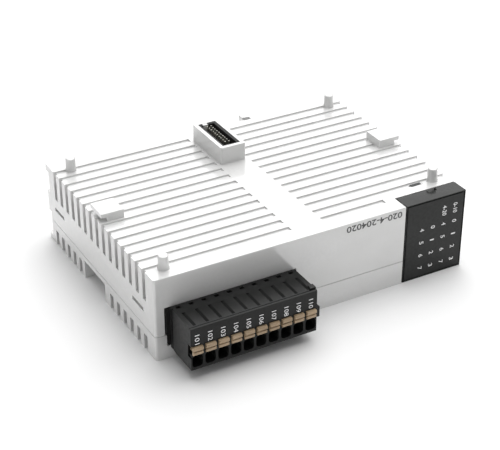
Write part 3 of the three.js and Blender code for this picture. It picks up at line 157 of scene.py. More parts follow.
# Sizes and depths of the patterns are in millimetres.
FLOW_SIZE = 14
FLOW_STRETCH = (1, 0.6, 1.6)
FLOW_DEPTH = 0.05
FLOW_STRENGTH = 0.3
GRAIN_STRENGTH = 0.35
SPECK_SIZE = 0.9
HIGHLIGHT_EDGE = (0.52, 0.6)  # how far an edge points outwards where the painted edge highlight starts, and where it is full
# share of the painted highlight colour that the most convex edges take
EDGE_HIGHLIGHT_SHARE = (0, 0.5)
LACQUER_IOR = 1.8
LACQUER_ROUGHNESS = 0.07
LINE_SIZE = 0.3
LINE_DEPTH = 0.01
LINE_STRENGTH = 0.25
CLOUD_SIZE = 2.5
WEAVE_SIZE = 0.6
WEAVE_DEPTH = 0.01
WEAVE_STRENGTH = 0.2
TRACK_DEPTH = 0.03
TRACK_STRENGTH = 0.5
TRACK_CLOUD_SIZE = 9
TRACK_PATTERN = {"Scale": 110.0, "Mortar Size": 0.035, "Brick Width": 0.9, "Row Height": 0.22}
TRACK_STAGGER = {"offset": 0.37, "squash": 0.6, "squash_frequency": 3}
INK_SIZE = 0.25


def moulded(
    name, colour, deeper, edge_highlight, gloss,
    grain=0.22, relief=0.012, specular=0.5, lacquer=0.0, sheen=0.0,
):
    """Injection-moulded plastic: a spark-eroded grain, faint sink and flow marks, and a painted
    highlight colour on convex edges.
    """
    material, tree, shader = new_finish(name)
    flow = noise(tree, FLOW_SIZE, 3, FLOW_STRETCH)
    speck = noise(tree, SPECK_SIZE, 2)
    fine = noise(tree, grain, 2, rough=0.6)
    base = mix_rgb(tree, between(tree, flow, MOST_OF_NOISE, FULL), colour, deeper)
    # painted highlight: convex edges, found by pointiness, take the lighter third colour, unevenly
    # by the speck noise
    convexity = put(tree, "ShaderNodeNewGeometry", {}).outputs["Pointiness"]
    edge = between(tree, convexity, HIGHLIGHT_EDGE, EDGE_HIGHLIGHT_SHARE)
    uneven = put(tree, "ShaderNodeMath", {0: edge, 1: speck}, operation="MULTIPLY").outputs[0]
    tree.links.new(mix_rgb(tree, uneven, base, edge_highlight), shader.inputs["Base Color"])
    rough = between(tree, speck, NEARLY_ALL_OF_NOISE, gloss)
    tree.links.new(rough, shader.inputs["Roughness"])
    shader.inputs["Specular IOR Level"].default_value = specular
    shader.inputs["Coat Weight"].default_value = lacquer
    shader.inputs["Coat IOR"].default_value = LACQUER_IOR
    shader.inputs["Coat Roughness"].default_value = LACQUER_ROUGHNESS
    shader.inputs["Sheen Weight"].default_value = sheen
    normal = bump_from(tree, [(fine, GRAIN_STRENGTH, relief), (flow, FLOW_STRENGTH, FLOW_DEPTH)])
    tree.links.new(normal, shader.inputs["Normal"])
    return material


def plated(name, colour, deeper, gloss, grain=(1, 1, 8)):
    """Plated or drawn metal: fine lines along the work and a slightly uneven shine."""
    material, tree, shader = new_finish(name)
    shader.inputs["Metallic"].default_value = 1.0
    lines = noise(tree, LINE_SIZE, 3, grain)
    cloud = noise(tree, CLOUD_SIZE, 2)
    base = mix_rgb(tree, between(tree, cloud, MOST_OF_NOISE, FULL), colour, deeper)
    tree.links.new(base, shader.inputs["Base Color"])
    rough = between(tree, lines, NEARLY_ALL_OF_NOISE, gloss)
    tree.links.new(rough, shader.inputs["Roughness"])
    normal = bump_from(tree, [(lines, LINE_STRENGTH, LINE_DEPTH)])
    tree.links.new(normal, shader.inputs["Normal"])
    return material


def laminate(name, mask, track):
    """Solder mask over copper: tracks show as paler, slightly raised lines."""
    material, tree, shader = new_finish(name)
    where = put(tree, "ShaderNodeTexCoord", {}).outputs["Object"]
    pattern = {"Vector": where, **TRACK_PATTERN}
    cells = put(tree, "ShaderNodeTexBrick", pattern, **TRACK_STAGGER).outputs["Fac"]
    weave = noise(tree, WEAVE_SIZE, 1, (1, 4, 1))
    cloud = noise(tree, TRACK_CLOUD_SIZE, 2)
    strength = between(tree, cloud, (0.4, 0.6), (0.2, 1))
    shown = put(tree, "ShaderNodeMath", {0: cells, 1: strength}, operation="MULTIPLY").outputs[0]
    tree.links.new(mix_rgb(tree, shown, mask, track), shader.inputs["Base Color"])
    rough = between(tree, weave, NEARLY_ALL_OF_NOISE, (0.28, 0.42))
    tree.links.new(rough, shader.inputs["Roughness"])
    layers = [(cells, TRACK_STRENGTH, TRACK_DEPTH), (weave, WEAVE_STRENGTH, WEAVE_DEPTH)]
    normal = bump_from(tree, layers)
    tree.links.new(normal, shader.inputs["Normal"])
    return material


def printed(name, colour, deeper):
    """Pad-printed ink: thin, a little uneven in cover."""
    material, tree, shader = new_finish(name)
    cover = noise(tree, INK_SIZE, 2)
    base = mix_rgb(tree, between(tree, cover, (0.35, 0.7), FULL), colour, deeper)
    tree.links.new(base, shader.inputs["Base Color"])
    rough = between(tree, cover, NEARLY_ALL_OF_NOISE, (0.4, 0.6))
    tree.links.new(rough, shader.inputs["Roughness"])
    return material


WARM = (1, 1, 0.99)
GREENISH = (1, 1.06, 1)
SMOKY = (0.98, 1.06, 0.98)
# The third colour of each moulded finish is a painted highlight on its convex edges.
CASE = moulded(
    "case_light_grey", grey(0.70, WARM), grey(0.67, WARM), grey(0.8),
    gloss=(0.16, 0.26), relief=0.006, specular=0.8, lacquer=0.8,
)
BLACK = moulded(
    "plug_black", grey(0.005, GREENISH), grey(0.008, GREENISH), grey(0.03),
    gloss=(0.28, 0.42), specular=0.19, sheen=0.04,
)
BUS_BLACK = moulded(
    "connector_black", grey(0.008), grey(0.012), grey(0.05), gloss=(0.3, 0.45), specular=0.15,
)
SMOKE = moulded(
    "window_smoke", grey(0.009, SMOKY), grey(0.013, SMOKY), grey(0.06),
    gloss=(0.08, 0.14), grain=0.5, relief=0.002, specular=0.26,
)
TAN = moulded(
    "lever_tan", (0.40, 0.29, 0.18, 1), (0.33, 0.235, 0.14, 1), (0.6, 0.48, 0.34, 1),
    gloss=(0.3, 0.45),
)
MILKY = moulded("diffuser_milky", grey(0.72), grey(0.66), grey(0.85), gloss=(0.3, 0.45))
EPOXY = moulded(
    "chip_epoxy", grey(0.02), grey(0.028), grey(0.08), gloss=(0.45, 0.6), grain=0.12, relief=0.02,
)
BOARD = laminate("board_laminate", (0.012, 0.11, 0.045, 1), (0.03, 0.2, 0.08, 1))
GOLD = plated("pin_flash_gold", (0.90, 0.88, 0.81, 1), (0.84, 0.81, 0.72, 1), gloss=(0.24, 0.38))
TIN = plated("tin_plate", (0.74, 0.75, 0.76, 1), (0.64, 0.65, 0.66, 1), gloss=(0.22, 0.42))
STEEL = plated(
    "spring_steel", (0.52, 0.53, 0.54, 1), (0.44, 0.45, 0.46, 1),
    gloss=(0.2, 0.36), grain=(8, 1, 1),
)
WHITE_INK = printed("white_ink", grey(0.95), grey(0.82))
GREY_INK = printed("grey_ink", grey(0.06), grey(0.1))


# ---------------------------------------------------------------- moulded shells from the CAD
SHARP_EDGE = math.radians(30)
FLAT_EDGE = math.radians(0.5)
SAME_POINT = 0.002 * MM
ROUNDING_STEPS = 2
CRISP_SHARE = 0.3
SEAM_Z = low("upper_case").z
SEAM_REACH = 0.3 * MM
CATCH_MIDDLE = at(89.15, 9.7, 0)
CATCH_REACH = Vector((2.4, 1.2, 0)) * MM


def crisp(place):
    """Whether a point is on the seam or round the window's catch, where edges are crisper."""
    off = place - CATCH_MIDDLE
    by_catch = abs(off.x) < CATCH_REACH.x and abs(off.y) < CATCH_REACH.y
    return abs(place.z - SEAM_Z) < SEAM_REACH or by_catch


def add_piece(mesh, name, body, finish, nodes=()):
    """A finished piece on its body, in one finish, and in place of the CAD nodes given."""
    piece = bpy.data.objects.new(name, mesh)
    bpy.context.scene.collection.objects.link(piece)
    mesh.materials.clear()
    mesh.materials.append(finish)
    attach(piece, body)
    if nodes:
        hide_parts(*nodes)
    return piece


def draft_object(mesh):
    draft = bpy.data.objects.new("draft", mesh)
    bpy.context.scene.collection.objects.link(draft)
    return draft


def finished_mesh(draft, name):
    """The draft's mesh with its modifiers applied; the draft goes."""
    bpy.context.view_layer.update()
    ready = draft.evaluated_get(bpy.context.evaluated_depsgraph_get())
    mesh = bpy.data.meshes.new_from_object(ready)
    mesh.name = name
    bpy.data.objects.remove(draft)
    return mesh


def closed_copy(node):
    """A CAD node's solid as one merged mesh of flat faces."""
    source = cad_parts[node].data
    points = [v.co for v in source.vertices]
    mesh = bpy.data.meshes.new(node + "_copy")
    mesh.from_pydata(points, [], [tuple(p.vertices) for p in source.polygons])
    work = bmesh.new()
    work.from_mesh(mesh)
    bmesh.ops.remove_doubles(work, verts=work.verts, dist=SAME_POINT)
    bmesh.ops.dissolve_limit(work, angle_limit=FLAT_EDGE, verts=work.verts, edges=work.edges)
    work.to_mesh(mesh)
    work.free()
    return mesh


def softened(node, name, body, slot, finish, radius):
    """A shell with the small rounding that a mould leaves on every edge."""
    draft = draft_object(closed_copy(node))
    mesh = draft.data
    weights = mesh.attributes.new("bevel_weight_edge", "FLOAT", "EDGE")
    work = bmesh.new()
    work.from_mesh(mesh)
    for edge, weight in zip(work.edges, weights.data):
        sharp = edge.is_manifold and edge.calc_face_angle() > SHARP_EDGE
        rounding = CRISP_SHARE if all(crisp(v.co) for v in edge.verts) else 1.0
        weight.value = rounding if sharp else 0.0
    work.free()
    bevel = draft.modifiers.new("rounding", "BEVEL")
    bevel.width = radius * MM
    bevel.segments = ROUNDING_STEPS
    bevel.limit_method = "WEIGHT"
    bevel.use_clamp_overlap = True
    bevel.miter_outer = "MITER_SHARP"
    even = draft.modifiers.new("even_shading", "WEIGHTED_NORMAL")
    even.keep_sharp = False
    for face in mesh.polygons:
        face.use_smooth = True
    add_piece(finished_mesh(draft, name), name, body, finish, [node])


# Node, piece, body, slot, finish, radius of its edges in millimetres
for shell in (
    ("upper_case", "case_upper_half", MODULE, "case_plastic", CASE, 0.3),
    ("lower_case", "case_lower_half", MODULE, "case_plastic", CASE, 0.3),
    ("indicator_window", "window_cap", MODULE, "window_plastic", SMOKE, 0.1),
    ("light_guide", "window_light_guide", MODULE, "diffuser_plastic", MILKY, 0.15),
    ("terminal_header", "plug_header", MODULE, "black_plastic", BLACK, 0.12),
    ("terminal_plug", "plug_block", PLUG, "black_plastic", BLACK, 0.12),
    ("bus_header", "bus_pin_housing", MODULE, "black_plastic", BUS_BLACK, 0.08),
    ("bus_socket", "bus_socket_housing", MODULE, "black_plastic", BUS_BLACK, 0.1),
    ("din_latch", "rail_latch", "din_latch", "case_plastic", CASE, 0.2),
):
    softened(*shell)

LEVER_EDGE = 0.15
for pole in range(1, POLES + 1):
    lever = f"release_lever_{pole}"
    softened(lever, f"release_lever_cap_{pole}", lever, "lever_plastic", TAN, LEVER_EDGE)


# ---------------------------------------------------------------- lettering
CAP_SHARE = 0.7  # height of a figure as a share of the type's size
INK_DEPTH = 0.01 * MM
INK_JOIN = 0.001 * MM
CURVE_STEPS = 3
DOWN, LEFT, RIGHT = (0, 0, -1), (-1, 0, 0), (1, 0, 0)


def lettering(name, entries, right, up, body, ink, bold):
    """Flat figures as one piece. Entries are (text, height and width in millimetres, middle).

    Right is the reading direction and up points to the figures' tops.
    """
    right, up = Vector(right), Vector(up)
    out = right.cross(up)
    figures = bmesh.new()
    for text, height, width, centre in entries:
        curve = bpy.data.curves.new("type", "FONT")
        curve.body = text
        curve.size = height * MM / CAP_SHARE
        curve.resolution_u = CURVE_STEPS
        curve.offset = bold * MM
        curve.extrude = INK_DEPTH
        mesh = finished_mesh(draft_object(curve), "type")
        across = [v.co.x for v in mesh.vertices]
        tall = [v.co.y for v in mesh.vertices]
        widen = width * MM / (max(across) - min(across))
        heighten = height * MM / (max(tall) - min(tall))
        off_centre = (-(max(across) + min(across)) / 2, -(max(tall) + min(tall)) / 2, 0)
        place = Matrix((right, up, out)).transposed().to_4x4()
        place.translation = centre
        fit = Matrix.Diagonal((widen, heighten, 1, 1))
        mesh.transform(place @ fit @ Matrix.Translation(off_centre))
        figures.from_mesh(mesh)
        bpy.data.meshes.remove(mesh)
    bmesh.ops.remove_doubles(figures, verts=figures.verts, dist=INK_JOIN)
    bmesh.ops.recalc_face_normals(figures, faces=figures.faces)
    mesh = bpy.data.meshes.new(name)
    figures.to_mesh(mesh)
    figures.free()
    add_piece(mesh, name, body, ink)


LAMP_MARGIN = 1.8 * MM  # from the light guide's edges to its outer lamps


def lamp_places(axis, number):
    """Where the lamps stand along one axis of the light guide."""
    first = low("light_guide")[axis] + LAMP_MARGIN
    last = high("light_guide")[axis] - LAMP_MARGIN
    return [first + i * (last - first) / (number - 1) for i in range(number)]


columns = lamp_places(0, LIGHT_COLUMNS)
rows = lamp_places(2, LIGHT_ROWS)

FIGURE_HEIGHT = 1.45
FIGURE_WIDTH = 0.95
ONE_WIDTH = 0.45
FIGURE_DROP = 0.6 * MM
FIGURES_PER_COLUMN = LIGHT_ROWS - 1
FIGURE_COUNT = 8
RANGE_WIDTH = 3.3
RANGE_DROP = 0.5 * MM
window_figures = []
for i, x in enumerate(reversed(columns)):
    for j in range(FIGURES_PER_COLUMN):
        figure = str((FIGURES_PER_COLUMN * i + j) % FIGURE_COUNT)
        width = ONE_WIDTH if figure == "1" else FIGURE_WIDTH
        centre = Vector((x, FRONT_Y, rows[FIGURES_PER_COLUMN - 1 - j] - FIGURE_DROP))
        window_figures.append((figure, FIGURE_HEIGHT, width, centre))
for text, x in (("0-10", columns[3]), ("4-20", columns[2])):
    centre = Vector((x, FRONT_Y, rows[-1] - RANGE_DROP))
    window_figures.append((text, FIGURE_HEIGHT, RANGE_WIDTH, centre))
lettering(
    "window_figures", window_figures, DOWN, RIGHT, MODULE, WHITE_INK, bold=0.02,
)

LEVER_PROUD = 0.9 * MM
PLUG_FIGURE_HEIGHT = 1.35
PLUG_FIGURE_WIDTH = 2.9
PLUG_FIGURE_Z = CASE_LOW.z + 12.7 * MM
FIRST_FIGURE = 101
plug_figures = []
for pole in range(1, POLES + 1):
    lever = f"release_lever_{pole}"
    centre = Vector((middle(lever).x, low("release_lever_1").y + LEVER_PROUD, PLUG_FIGURE_Z))
    text = str(FIRST_FIGURE + pole - 1)
    plug_figures.append((text, PLUG_FIGURE_HEIGHT, PLUG_FIGURE_WIDTH, centre))
lettering("plug_figures", plug_figures, DOWN, RIGHT, PLUG, WHITE_INK, bold=0.0)

# Open failure: grouped too much like a type code. Two plain ranges, or nothing, belong here.
RANGE_LINE_HEIGHT = 2.0
RANGE_LINE_WIDTH = 18.6
RANGE_LINE_MIDDLE = at(68.6, 0, 23.6)
range_line = ("020-4-204020", RANGE_LINE_HEIGHT, RANGE_LINE_WIDTH, RANGE_LINE_MIDDLE)
lettering("range_figures", [range_line], LEFT, DOWN, MODULE, GREY_INK, bold=0.06)


# ------------------------------------------------ repeated parts, grown by geometry nodes
SOCKET_KINDS = {int: "NodeSocketInt", float: "NodeSocketFloat", tuple: "NodeSocketVector"}


def new_tree(name, sizes):
    """A geometry node tree with one named input for each size, and one for the finish."""
    tree = bpy.data.node_groups.new(name, "GeometryNodeTree")
    for label, value in sizes.items():
        kind = SOCKET_KINDS[type(value)]
        socket = tree.interface.new_socket(label, in_out="INPUT", socket_type=kind)
        socket.default_value = value
    tree.interface.new_socket("Finish", in_out="INPUT", socket_type="NodeSocketMaterial")
    tree.interface.new_socket("Geometry", in_out="OUTPUT", socket_type="NodeSocketGeometry")
    return tree, tree.nodes.new("NodeGroupInput").outputs


def end_tree(tree, given, geometry):
    real = put(tree, "GeometryNodeRealizeInstances", {"Geometry": geometry}).outputs[0]
    inputs = {"Geometry": real, "Material": given["Finish"]}
    painted = put(tree, "GeometryNodeSetMaterial", inputs).outputs[0]
    tree.links.new(painted, tree.nodes.new("NodeGroupOutput").inputs[0])
    return tree


def grown(tree, name, body, finish, sizes, nodes=()):
    """The plain mesh that a tree makes from these sizes."""
    draft = draft_object(bpy.data.meshes.new("draft"))
    growth = draft.modifiers.new("growth", "NODES")
    growth.node_group = tree
    for item in tree.interface.items_tree:
        if item.in_out == "INPUT":
            growth[item.identifier] = finish if item.name == "Finish" else sizes[item.name]
    return add_piece(finished_mesh(draft, name), name, body, finish, nodes)


def sums(tree, operation, first, second=0.0):
    return put(tree, "ShaderNodeMath", {0: first, 1: second}, operation=operation).outputs[0]


def halved(tree, value):
    return sums(tree, "DIVIDE", value, 2.0)


def share(tree, value, part):
    return sums(tree, "MULTIPLY", value, part)


def point(tree, x=0.0, y=0.0, z=0.0):
    return put(tree, "ShaderNodeCombineXYZ", {0: x, 1: y, 2: z}).outputs[0]


def moved(tree, geometry, to, turn=(0, 0, 0)):
    inputs = {"Geometry": geometry, "Translation": to, "Rotation": turn}
    return put(tree, "GeometryNodeTransform", inputs).outputs[0]


def joined(tree, *parts):
    join = tree.nodes.new("GeometryNodeJoinGeometry")
    for part in parts:
        tree.links.new(part, join.inputs[0])
    return join.outputs[0]


def by_index(tree, kind, choices):
    """A value that depends on which point of a line it is asked for."""
    choose = tree.nodes.new("GeometryNodeIndexSwitch")
    choose.data_type = kind
    while len(choose.index_switch_items) < len(choices):
        choose.index_switch_items.new()
    tree.links.new(put(tree, "GeometryNodeInputIndex", {}).outputs[0], choose.inputs[0])
    for index, value in enumerate(choices, 1):
        if isinstance(value, bpy.types.NodeSocket):
            tree.links.new(value, choose.inputs[index])
        else:
            choose.inputs[index].default_value = value
    return choose.outputs[0]


def line_of(tree, number, position):
    """A curve through that many points, each at the position given for its index."""
    line = put(tree, "GeometryNodeMeshLine", {"Count": number}).outputs[0]
    inputs = {"Geometry": line, "Position": position}
    placed = put(tree, "GeometryNodeSetPosition", inputs).outputs[0]
    return put(tree, "GeometryNodeMeshToCurve", {"Mesh": placed}).outputs[0]


def swept(tree, curve, profile, scale=1.0):
    inputs = {"Curve": curve, "Profile Curve": profile, "Scale": scale, "Fill Caps": True}
    return put(tree, "GeometryNodeCurveToMesh", inputs).outputs[0]


def spread(tree, given, unit):
    """Copies of a unit on a level grid about the origin."""
    across, along = given["Across"], given["Along"]
    inputs = {
        "Size X": share(tree, sums(tree, "SUBTRACT", across, 1.0), given["Pitch across"]),
        "Size Y": share(tree, sums(tree, "SUBTRACT", along, 1.0), given["Pitch along"]),
        "Vertices X": across,
        "Vertices Y": along,
    }
    grid = put(tree, "GeometryNodeMeshGrid", inputs).outputs[0]
    return put(tree, "GeometryNodeInstanceOnPoints", {"Points": grid, "Instance": unit}).outputs[0]


def oblong(tree, width, height):
    inputs = {"Width": width, "Height": height}
    return put(tree, "GeometryNodeCurvePrimitiveQuadrilateral", inputs).outputs[0]


TIP_SHARE = 0.7  # a pin's end as a share of its width


def pin_field_tree():
    """Rows of square pins with drawn points at both ends."""
    tree, given = new_tree(
        "pin_field",
        {
            "Across": 2, "Along": 10, "Pitch across": 1.27, "Pitch along": 1.27,
            "Middle": (0, 0, 0), "Width": 0.46, "Bottom": 0.0, "Top": 10.0, "Point": 0.5,
        },
    )
    bottom, top, tip = given["Bottom"], given["Top"], given["Point"]
    heights = [bottom, sums(tree, "ADD", bottom, tip), sums(tree, "SUBTRACT", top, tip), top]
    stem = line_of(tree, len(heights), point(tree, z=by_index(tree, "FLOAT", heights)))
    section = oblong(tree, given["Width"], given["Width"])
    pin = swept(tree, stem, section, by_index(tree, "FLOAT", [TIP_SHARE, 1.0, 1.0, TIP_SHARE]))
    return end_tree(tree, given, moved(tree, spread(tree, given, pin), given["Middle"]))


BEND_SHARE = 0.45  # a bend's radius as a share of the step between two runs
BEND_STEPS = 3
WIRE_SIDES = 10


def serpentine_tree():
    """A flat wire spring that goes up and down as it runs along x."""
    tree, given = new_tree(
        "serpentine",
        {"Turns": 5, "Start": (0, 0, 0), "Length": 8.0, "Reach": 1.7, "Wire": 0.5},
    )
    index = put(tree, "GeometryNodeInputIndex", {}).outputs[0]
    number = share(tree, sums(tree, "ADD", given["Turns"], 1.0), 2.0)
    room = sums(tree, "SUBTRACT", given["Length"], given["Wire"])
    step = sums(tree, "DIVIDE", room, given["Turns"])
    along = share(tree, sums(tree, "FLOOR", halved(tree, index)), step)
    # Two points in a row are on the same side, the next two on the other one.
    phase = sums(tree, "FLOORED_MODULO", sums(tree, "ADD", index, 1.0), 4.0)
    over = sums(tree, "GREATER_THAN", phase, 1.5)
    side = sums(tree, "SUBTRACT", share(tree, over, 2.0), 1.0)
    half_wire = halved(tree, given["Wire"])
    reach = sums(tree, "SUBTRACT", given["Reach"], half_wire)
    place = point(tree, sums(tree, "ADD", along, half_wire), 0.0, share(tree, side, reach))
    curve = line_of(tree, number, place)
    bends = tree.nodes.new("GeometryNodeFilletCurve")
    bends.mode = "POLY"
    tree.links.new(curve, bends.inputs["Curve"])
    bends.inputs["Count"].default_value = BEND_STEPS
    bends.inputs["Limit Radius"].default_value = True
    tree.links.new(share(tree, step, BEND_SHARE), bends.inputs["Radius"])
    inputs = {"Resolution": WIRE_SIDES, "Radius": half_wire}
    section = put(tree, "GeometryNodeCurvePrimitiveCircle", inputs).outputs[0]
    wire = swept(tree, bends.outputs[0], section)
    return end_tree(tree, given, moved(tree, wire, given["Start"]))


KNEE_SHARE = 0.3  # of the way from a chip's body to its lead's toe
ANKLE_SHARE = 0.5


def lead_rows_tree():
    """Gull-wing leads down both long sides of a chip."""
    tree, given = new_tree(
        "lead_rows",
        {
            "Leads": 8, "Pitch": 1.27, "Middle": (0, 0, 0), "Body edge": 3.0, "Toe": 4.0,
            "Shoulder": 0.9, "Width": 0.4, "Sheet": 0.18,
        },
    )
    flat = halved(tree, given["Sheet"])
    edge, toe, shoulder = given["Body edge"], given["Toe"], given["Shoulder"]
    reach = sums(tree, "SUBTRACT", toe, edge)
    knee = sums(tree, "ADD", edge, share(tree, reach, KNEE_SHARE))
    ankle = sums(tree, "ADD", edge, share(tree, reach, ANKLE_SHARE))
    inside = sums(tree, "SUBTRACT", edge, given["Sheet"])
    corners = [
        point(tree, inside, 0.0, shoulder),
        point(tree, knee, 0.0, shoulder),
        point(tree, ankle, 0.0, flat),
        point(tree, toe, 0.0, flat),
    ]
    path = line_of(tree, len(corners), by_index(tree, "VECTOR", corners))
    lead = swept(tree, path, oblong(tree, given["Width"], given["Sheet"]))
    pair = joined(tree, lead, moved(tree, lead, (0, 0, 0), (0, 0, math.pi)))
    row_length = share(tree, sums(tree, "SUBTRACT", given["Leads"], 1.0), given["Pitch"])
    inputs = {
        "Count": given["Leads"],
        "Start Location": point(tree, 0.0, sums(tree, "DIVIDE", row_length, -2.0)),
        "Offset": point(tree, 0.0, given["Pitch"]),
    }
    row = put(tree, "GeometryNodeMeshLine", inputs).outputs[0]
    rows = put(tree, "GeometryNodeInstanceOnPoints", {"Points": row, "Instance": pair}).outputs[0]
    return end_tree(tree, given, moved(tree, rows, given["Middle"]))


# A lamp's block and lens as shares of its size
BLOCK_DEPTH = 0.6
BLOCK_HEIGHT = 0.3
LENS_TOP = 0.2
LENS_BOTTOM = 0.28
LENS_HEIGHT = 0.25
LENS_RISE = 0.14
LENS_SIDES = 12


def lamp_field_tree():
    """Small surface-mounted lamps on an upright board: a block with a tapered lens each."""
    tree, given = new_tree(
        "lamp_field",
        {
            "Across": 4, "Along": 5, "Pitch across": 3.8, "Pitch along": 4.3,
            "Middle": (0, 0, 0), "Size": 1.4,
        },
    )
    size = given["Size"]
    block_size = point(tree, size, share(tree, size, BLOCK_DEPTH), share(tree, size, BLOCK_HEIGHT))
    block = put(tree, "GeometryNodeMeshCube", {"Size": block_size}).outputs[0]
    inputs = {
        "Vertices": LENS_SIDES,
        "Radius Top": share(tree, size, LENS_TOP),
        "Radius Bottom": share(tree, size, LENS_BOTTOM),
        "Depth": share(tree, size, LENS_HEIGHT),
    }
    lens = put(tree, "GeometryNodeMeshCone", inputs).outputs[0]
    raised = moved(tree, lens, point(tree, z=share(tree, size, LENS_RISE)))
    field = spread(tree, given, joined(tree, block, raised))
    return end_tree(tree, given, moved(tree, field, given["Middle"], (math.pi / 2, 0, 0)))


PIN_FIELD = pin_field_tree()
SOCKET_PIN_WIDTH = 0.46 * MM
HEADER_PIN_WIDTH = 0.36 * MM
HEADER_PIN_POINT = 0.6 * MM
SOCKET_PIN_POINT = 0.3 * MM
bus_left, bus_right = middle("bus_pins_left"), middle("bus_pins_right")
bus_length = high("bus_pins_left").y - low("bus_pins_left").y
bus_sizes = {
    "Across": 2, "Along": BUS_WAYS, "Pitch across": bus_right.x - bus_left.x,
    "Pitch along": (bus_length - SOCKET_PIN_WIDTH) / (BUS_WAYS - 1),
    "Middle": ((bus_left.x + bus_right.x) / 2, bus_left.y, 0.0),
}
for name, rows_of, width, tip in (
    ("bus_pins", "bus_pins", HEADER_PIN_WIDTH, HEADER_PIN_POINT),
    ("bus_socket_contacts", "bus_contacts", SOCKET_PIN_WIDTH, SOCKET_PIN_POINT),
):
    replaced = (f"{rows_of}_left", f"{rows_of}_right")
    bottom, top = low(replaced[0]).z, high(replaced[0]).z
    sizes = {**bus_sizes, "Width": width, "Bottom": bottom, "Top": top, "Point": tip}
    grown(PIN_FIELD, name, MODULE, GOLD, sizes, replaced)

SPRING = "din_latch_spring"
SPRING_TURNS = 5
spring_low, spring_high = low(SPRING), high(SPRING)
spring_length = spring_high.x - spring_low.x
spring_sizes = {
    "Turns": SPRING_TURNS, "Start": (spring_low.x, middle(SPRING).y, middle(SPRING).z),
    "Length": spring_length, "Reach": (spring_high.z - spring_low.z) / 2,
    "Wire": spring_high.y - spring_low.y,
}
latch_spring = grown(
    serpentine_tree(), "rail_latch_spring", MODULE, STEEL, spring_sizes, (SPRING,),
)
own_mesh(latch_spring)

LAMP_SIZE = 1.4 * MM
LAMP_DEPTH = 0.25 * MM
lamps_y = low("indicator_board").y - LAMP_DEPTH
lamp_sizes = {
    "Across": LIGHT_COLUMNS, "Along": LIGHT_ROWS,
    "Pitch across": columns[1] - columns[0], "Pitch along": rows[1] - rows[0],
    "Middle": ((columns[0] + columns[-1]) / 2, lamps_y, (rows[0] + rows[-1]) / 2),
    "Size": LAMP_SIZE,
}
grown(lamp_field_tree(), "window_lamps", MODULE, MILKY, lamp_sizes)

LEAD_ROWS = lead_rows_tree()
LEAD_REACH = 0.9 * MM
LEAD_SHOULDER = 0.9 * MM
LEAD_WIDTH = 0.42 * MM
LEAD_SHEET = 0.16 * MM
for chip, leads, pitch in (
    ("microcontroller", 12, 0.8),
    ("input_converter", 7, 1.27),
    ("output_converter", 5, 1.27),
    ("signal_isolator", 7, 1.27),
):
    centre = middle(chip)
    half = (high(chip).x - low(chip).x) / 2
    chip_sizes = {
        "Leads": leads, "Pitch": pitch * MM, "Middle": (centre.x, centre.y, low(chip).z),
        "Body edge": half - LEAD_REACH, "Toe": half, "Shoulder": LEAD_SHOULDER,
        "Width": LEAD_WIDTH, "Sheet": LEAD_SHEET,
    }
    grown(LEAD_ROWS, f"{chip}_leads", MODULE, TIN, chip_sizes)


# ------------------------------------------------ inner parts that keep their CAD shape
def refinish(node, finish):
    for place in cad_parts[node].material_slots:
        place.material = finish


for node in ("main_board", "indicator_board"):
    refinish(node, BOARD)
for node in (
    "microcontroller", "input_converter", "output_converter", "signal_isolator",
    "power_converter", "filter_coil", "indicator_link",
):
    refinish(node, EPOXY)
for node in ("bulk_capacitor_1", "bulk_capacitor_2", "board_screw_1", "board_screw_2"):
    refinish(node, TIN)
for pole in range(1, POLES + 1):
    refinish(f"header_pin_{pole}", TIN)
    refinish(f"clamp_spring_{pole}", STEEL)


# ---------------------------------------------------------------- studio
FLOOR_REACH = 4.0
FLOOR_GREY = 0.86
FLOOR_ROUGHNESS = 0.85
FLOOR_SPECULAR = 0.1
ORIGIN = (0, 0, 0)
# name, place, aim, width, length, watts
LIGHTS = (
    ("top_light", (0.3, 0.25, 1.2), ORIGIN, 1.6, 1.6, 22),
    ("left_light", (-1.1, -0.3, 0.7), (0, 0, 0.01), 0.8, 0.8, 0.3),
    ("back_light", (0.6, 1.1, 0.75), ORIGIN, 1.2, 0.8, 4),
)
SKY_STRENGTH = 0.37


def in_scene(name, data):
    thing = bpy.data.objects.new(name, data)
    bpy.context.scene.collection.objects.link(thing)
    return thing


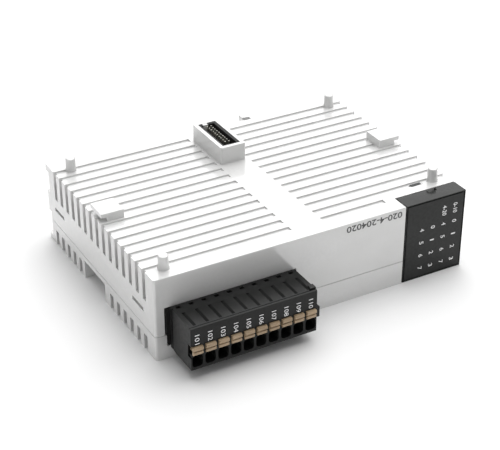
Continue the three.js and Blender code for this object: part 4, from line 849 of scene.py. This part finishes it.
def aimed(thing, place, way):
    """The thing at a place, looking along a direction."""
    thing.location = place
    thing.rotation_mode = "QUATERNION"
    thing.rotation_quaternion = way.to_track_quat("-Z", "Y")


def studio_floor():
    mesh = bpy.data.meshes.new("floor")
    sides = ((-1, -1), (1, -1), (1, 1), (-1, 1))
    corners = [(x * FLOOR_REACH, y * FLOOR_REACH, 0) for x, y in sides]
    mesh.from_pydata(corners, [], [(0, 1, 2, 3)])
    floor = in_scene("floor", mesh)
    material = bpy.data.materials.new("floor_paper")
    material.use_nodes = True
    shader = material.node_tree.nodes["Principled BSDF"]
    shader.inputs["Base Color"].default_value = (FLOOR_GREY, FLOOR_GREY, FLOOR_GREY, 1)
    shader.inputs["Roughness"].default_value = FLOOR_ROUGHNESS
    shader.inputs["Specular IOR Level"].default_value = FLOOR_SPECULAR
    mesh.materials.append(material)


def softbox(name, place, aim, width, length, power):
    data = bpy.data.lights.new(name, "AREA")
    data.shape = "RECTANGLE"
    data.size = width
    data.size_y = length
    data.energy = power
    aimed(in_scene(name, data), place, Vector(aim) - Vector(place))


studio_floor()
for light in LIGHTS:
    softbox(*light)
sky = bpy.data.worlds.new("studio")
sky.use_nodes = True
background = sky.node_tree.nodes["Background"]
background.inputs["Color"].default_value = (1, 1, 1, 1)
background.inputs["Strength"].default_value = SKY_STRENGTH
bpy.context.scene.world = sky
bpy.context.scene.view_settings.view_transform = "Standard"

AZIMUTH = math.radians(-29.154)
ELEVATION = math.radians(30.542)
DISTANCE = 0.4
TARGET = Vector((-5.50, -2.34, 15.0)) * MM
FOCAL_LENGTH = 99.03
SENSOR_WIDTH = 36.0
NEAREST = 0.02
FARTHEST = 20.0
back = Vector(
    (
        math.sin(AZIMUTH) * math.cos(ELEVATION),
        -math.cos(AZIMUTH) * math.cos(ELEVATION),
        math.sin(ELEVATION),
    )
)
camera_data = bpy.data.cameras.new("camera")
camera_data.lens = FOCAL_LENGTH
camera_data.sensor_width = SENSOR_WIDTH
camera_data.clip_start = NEAREST
camera_data.clip_end = FARTHEST
camera = in_scene("camera", camera_data)
aimed(camera, TARGET + back * DISTANCE, -back)
bpy.context.scene.camera = camera
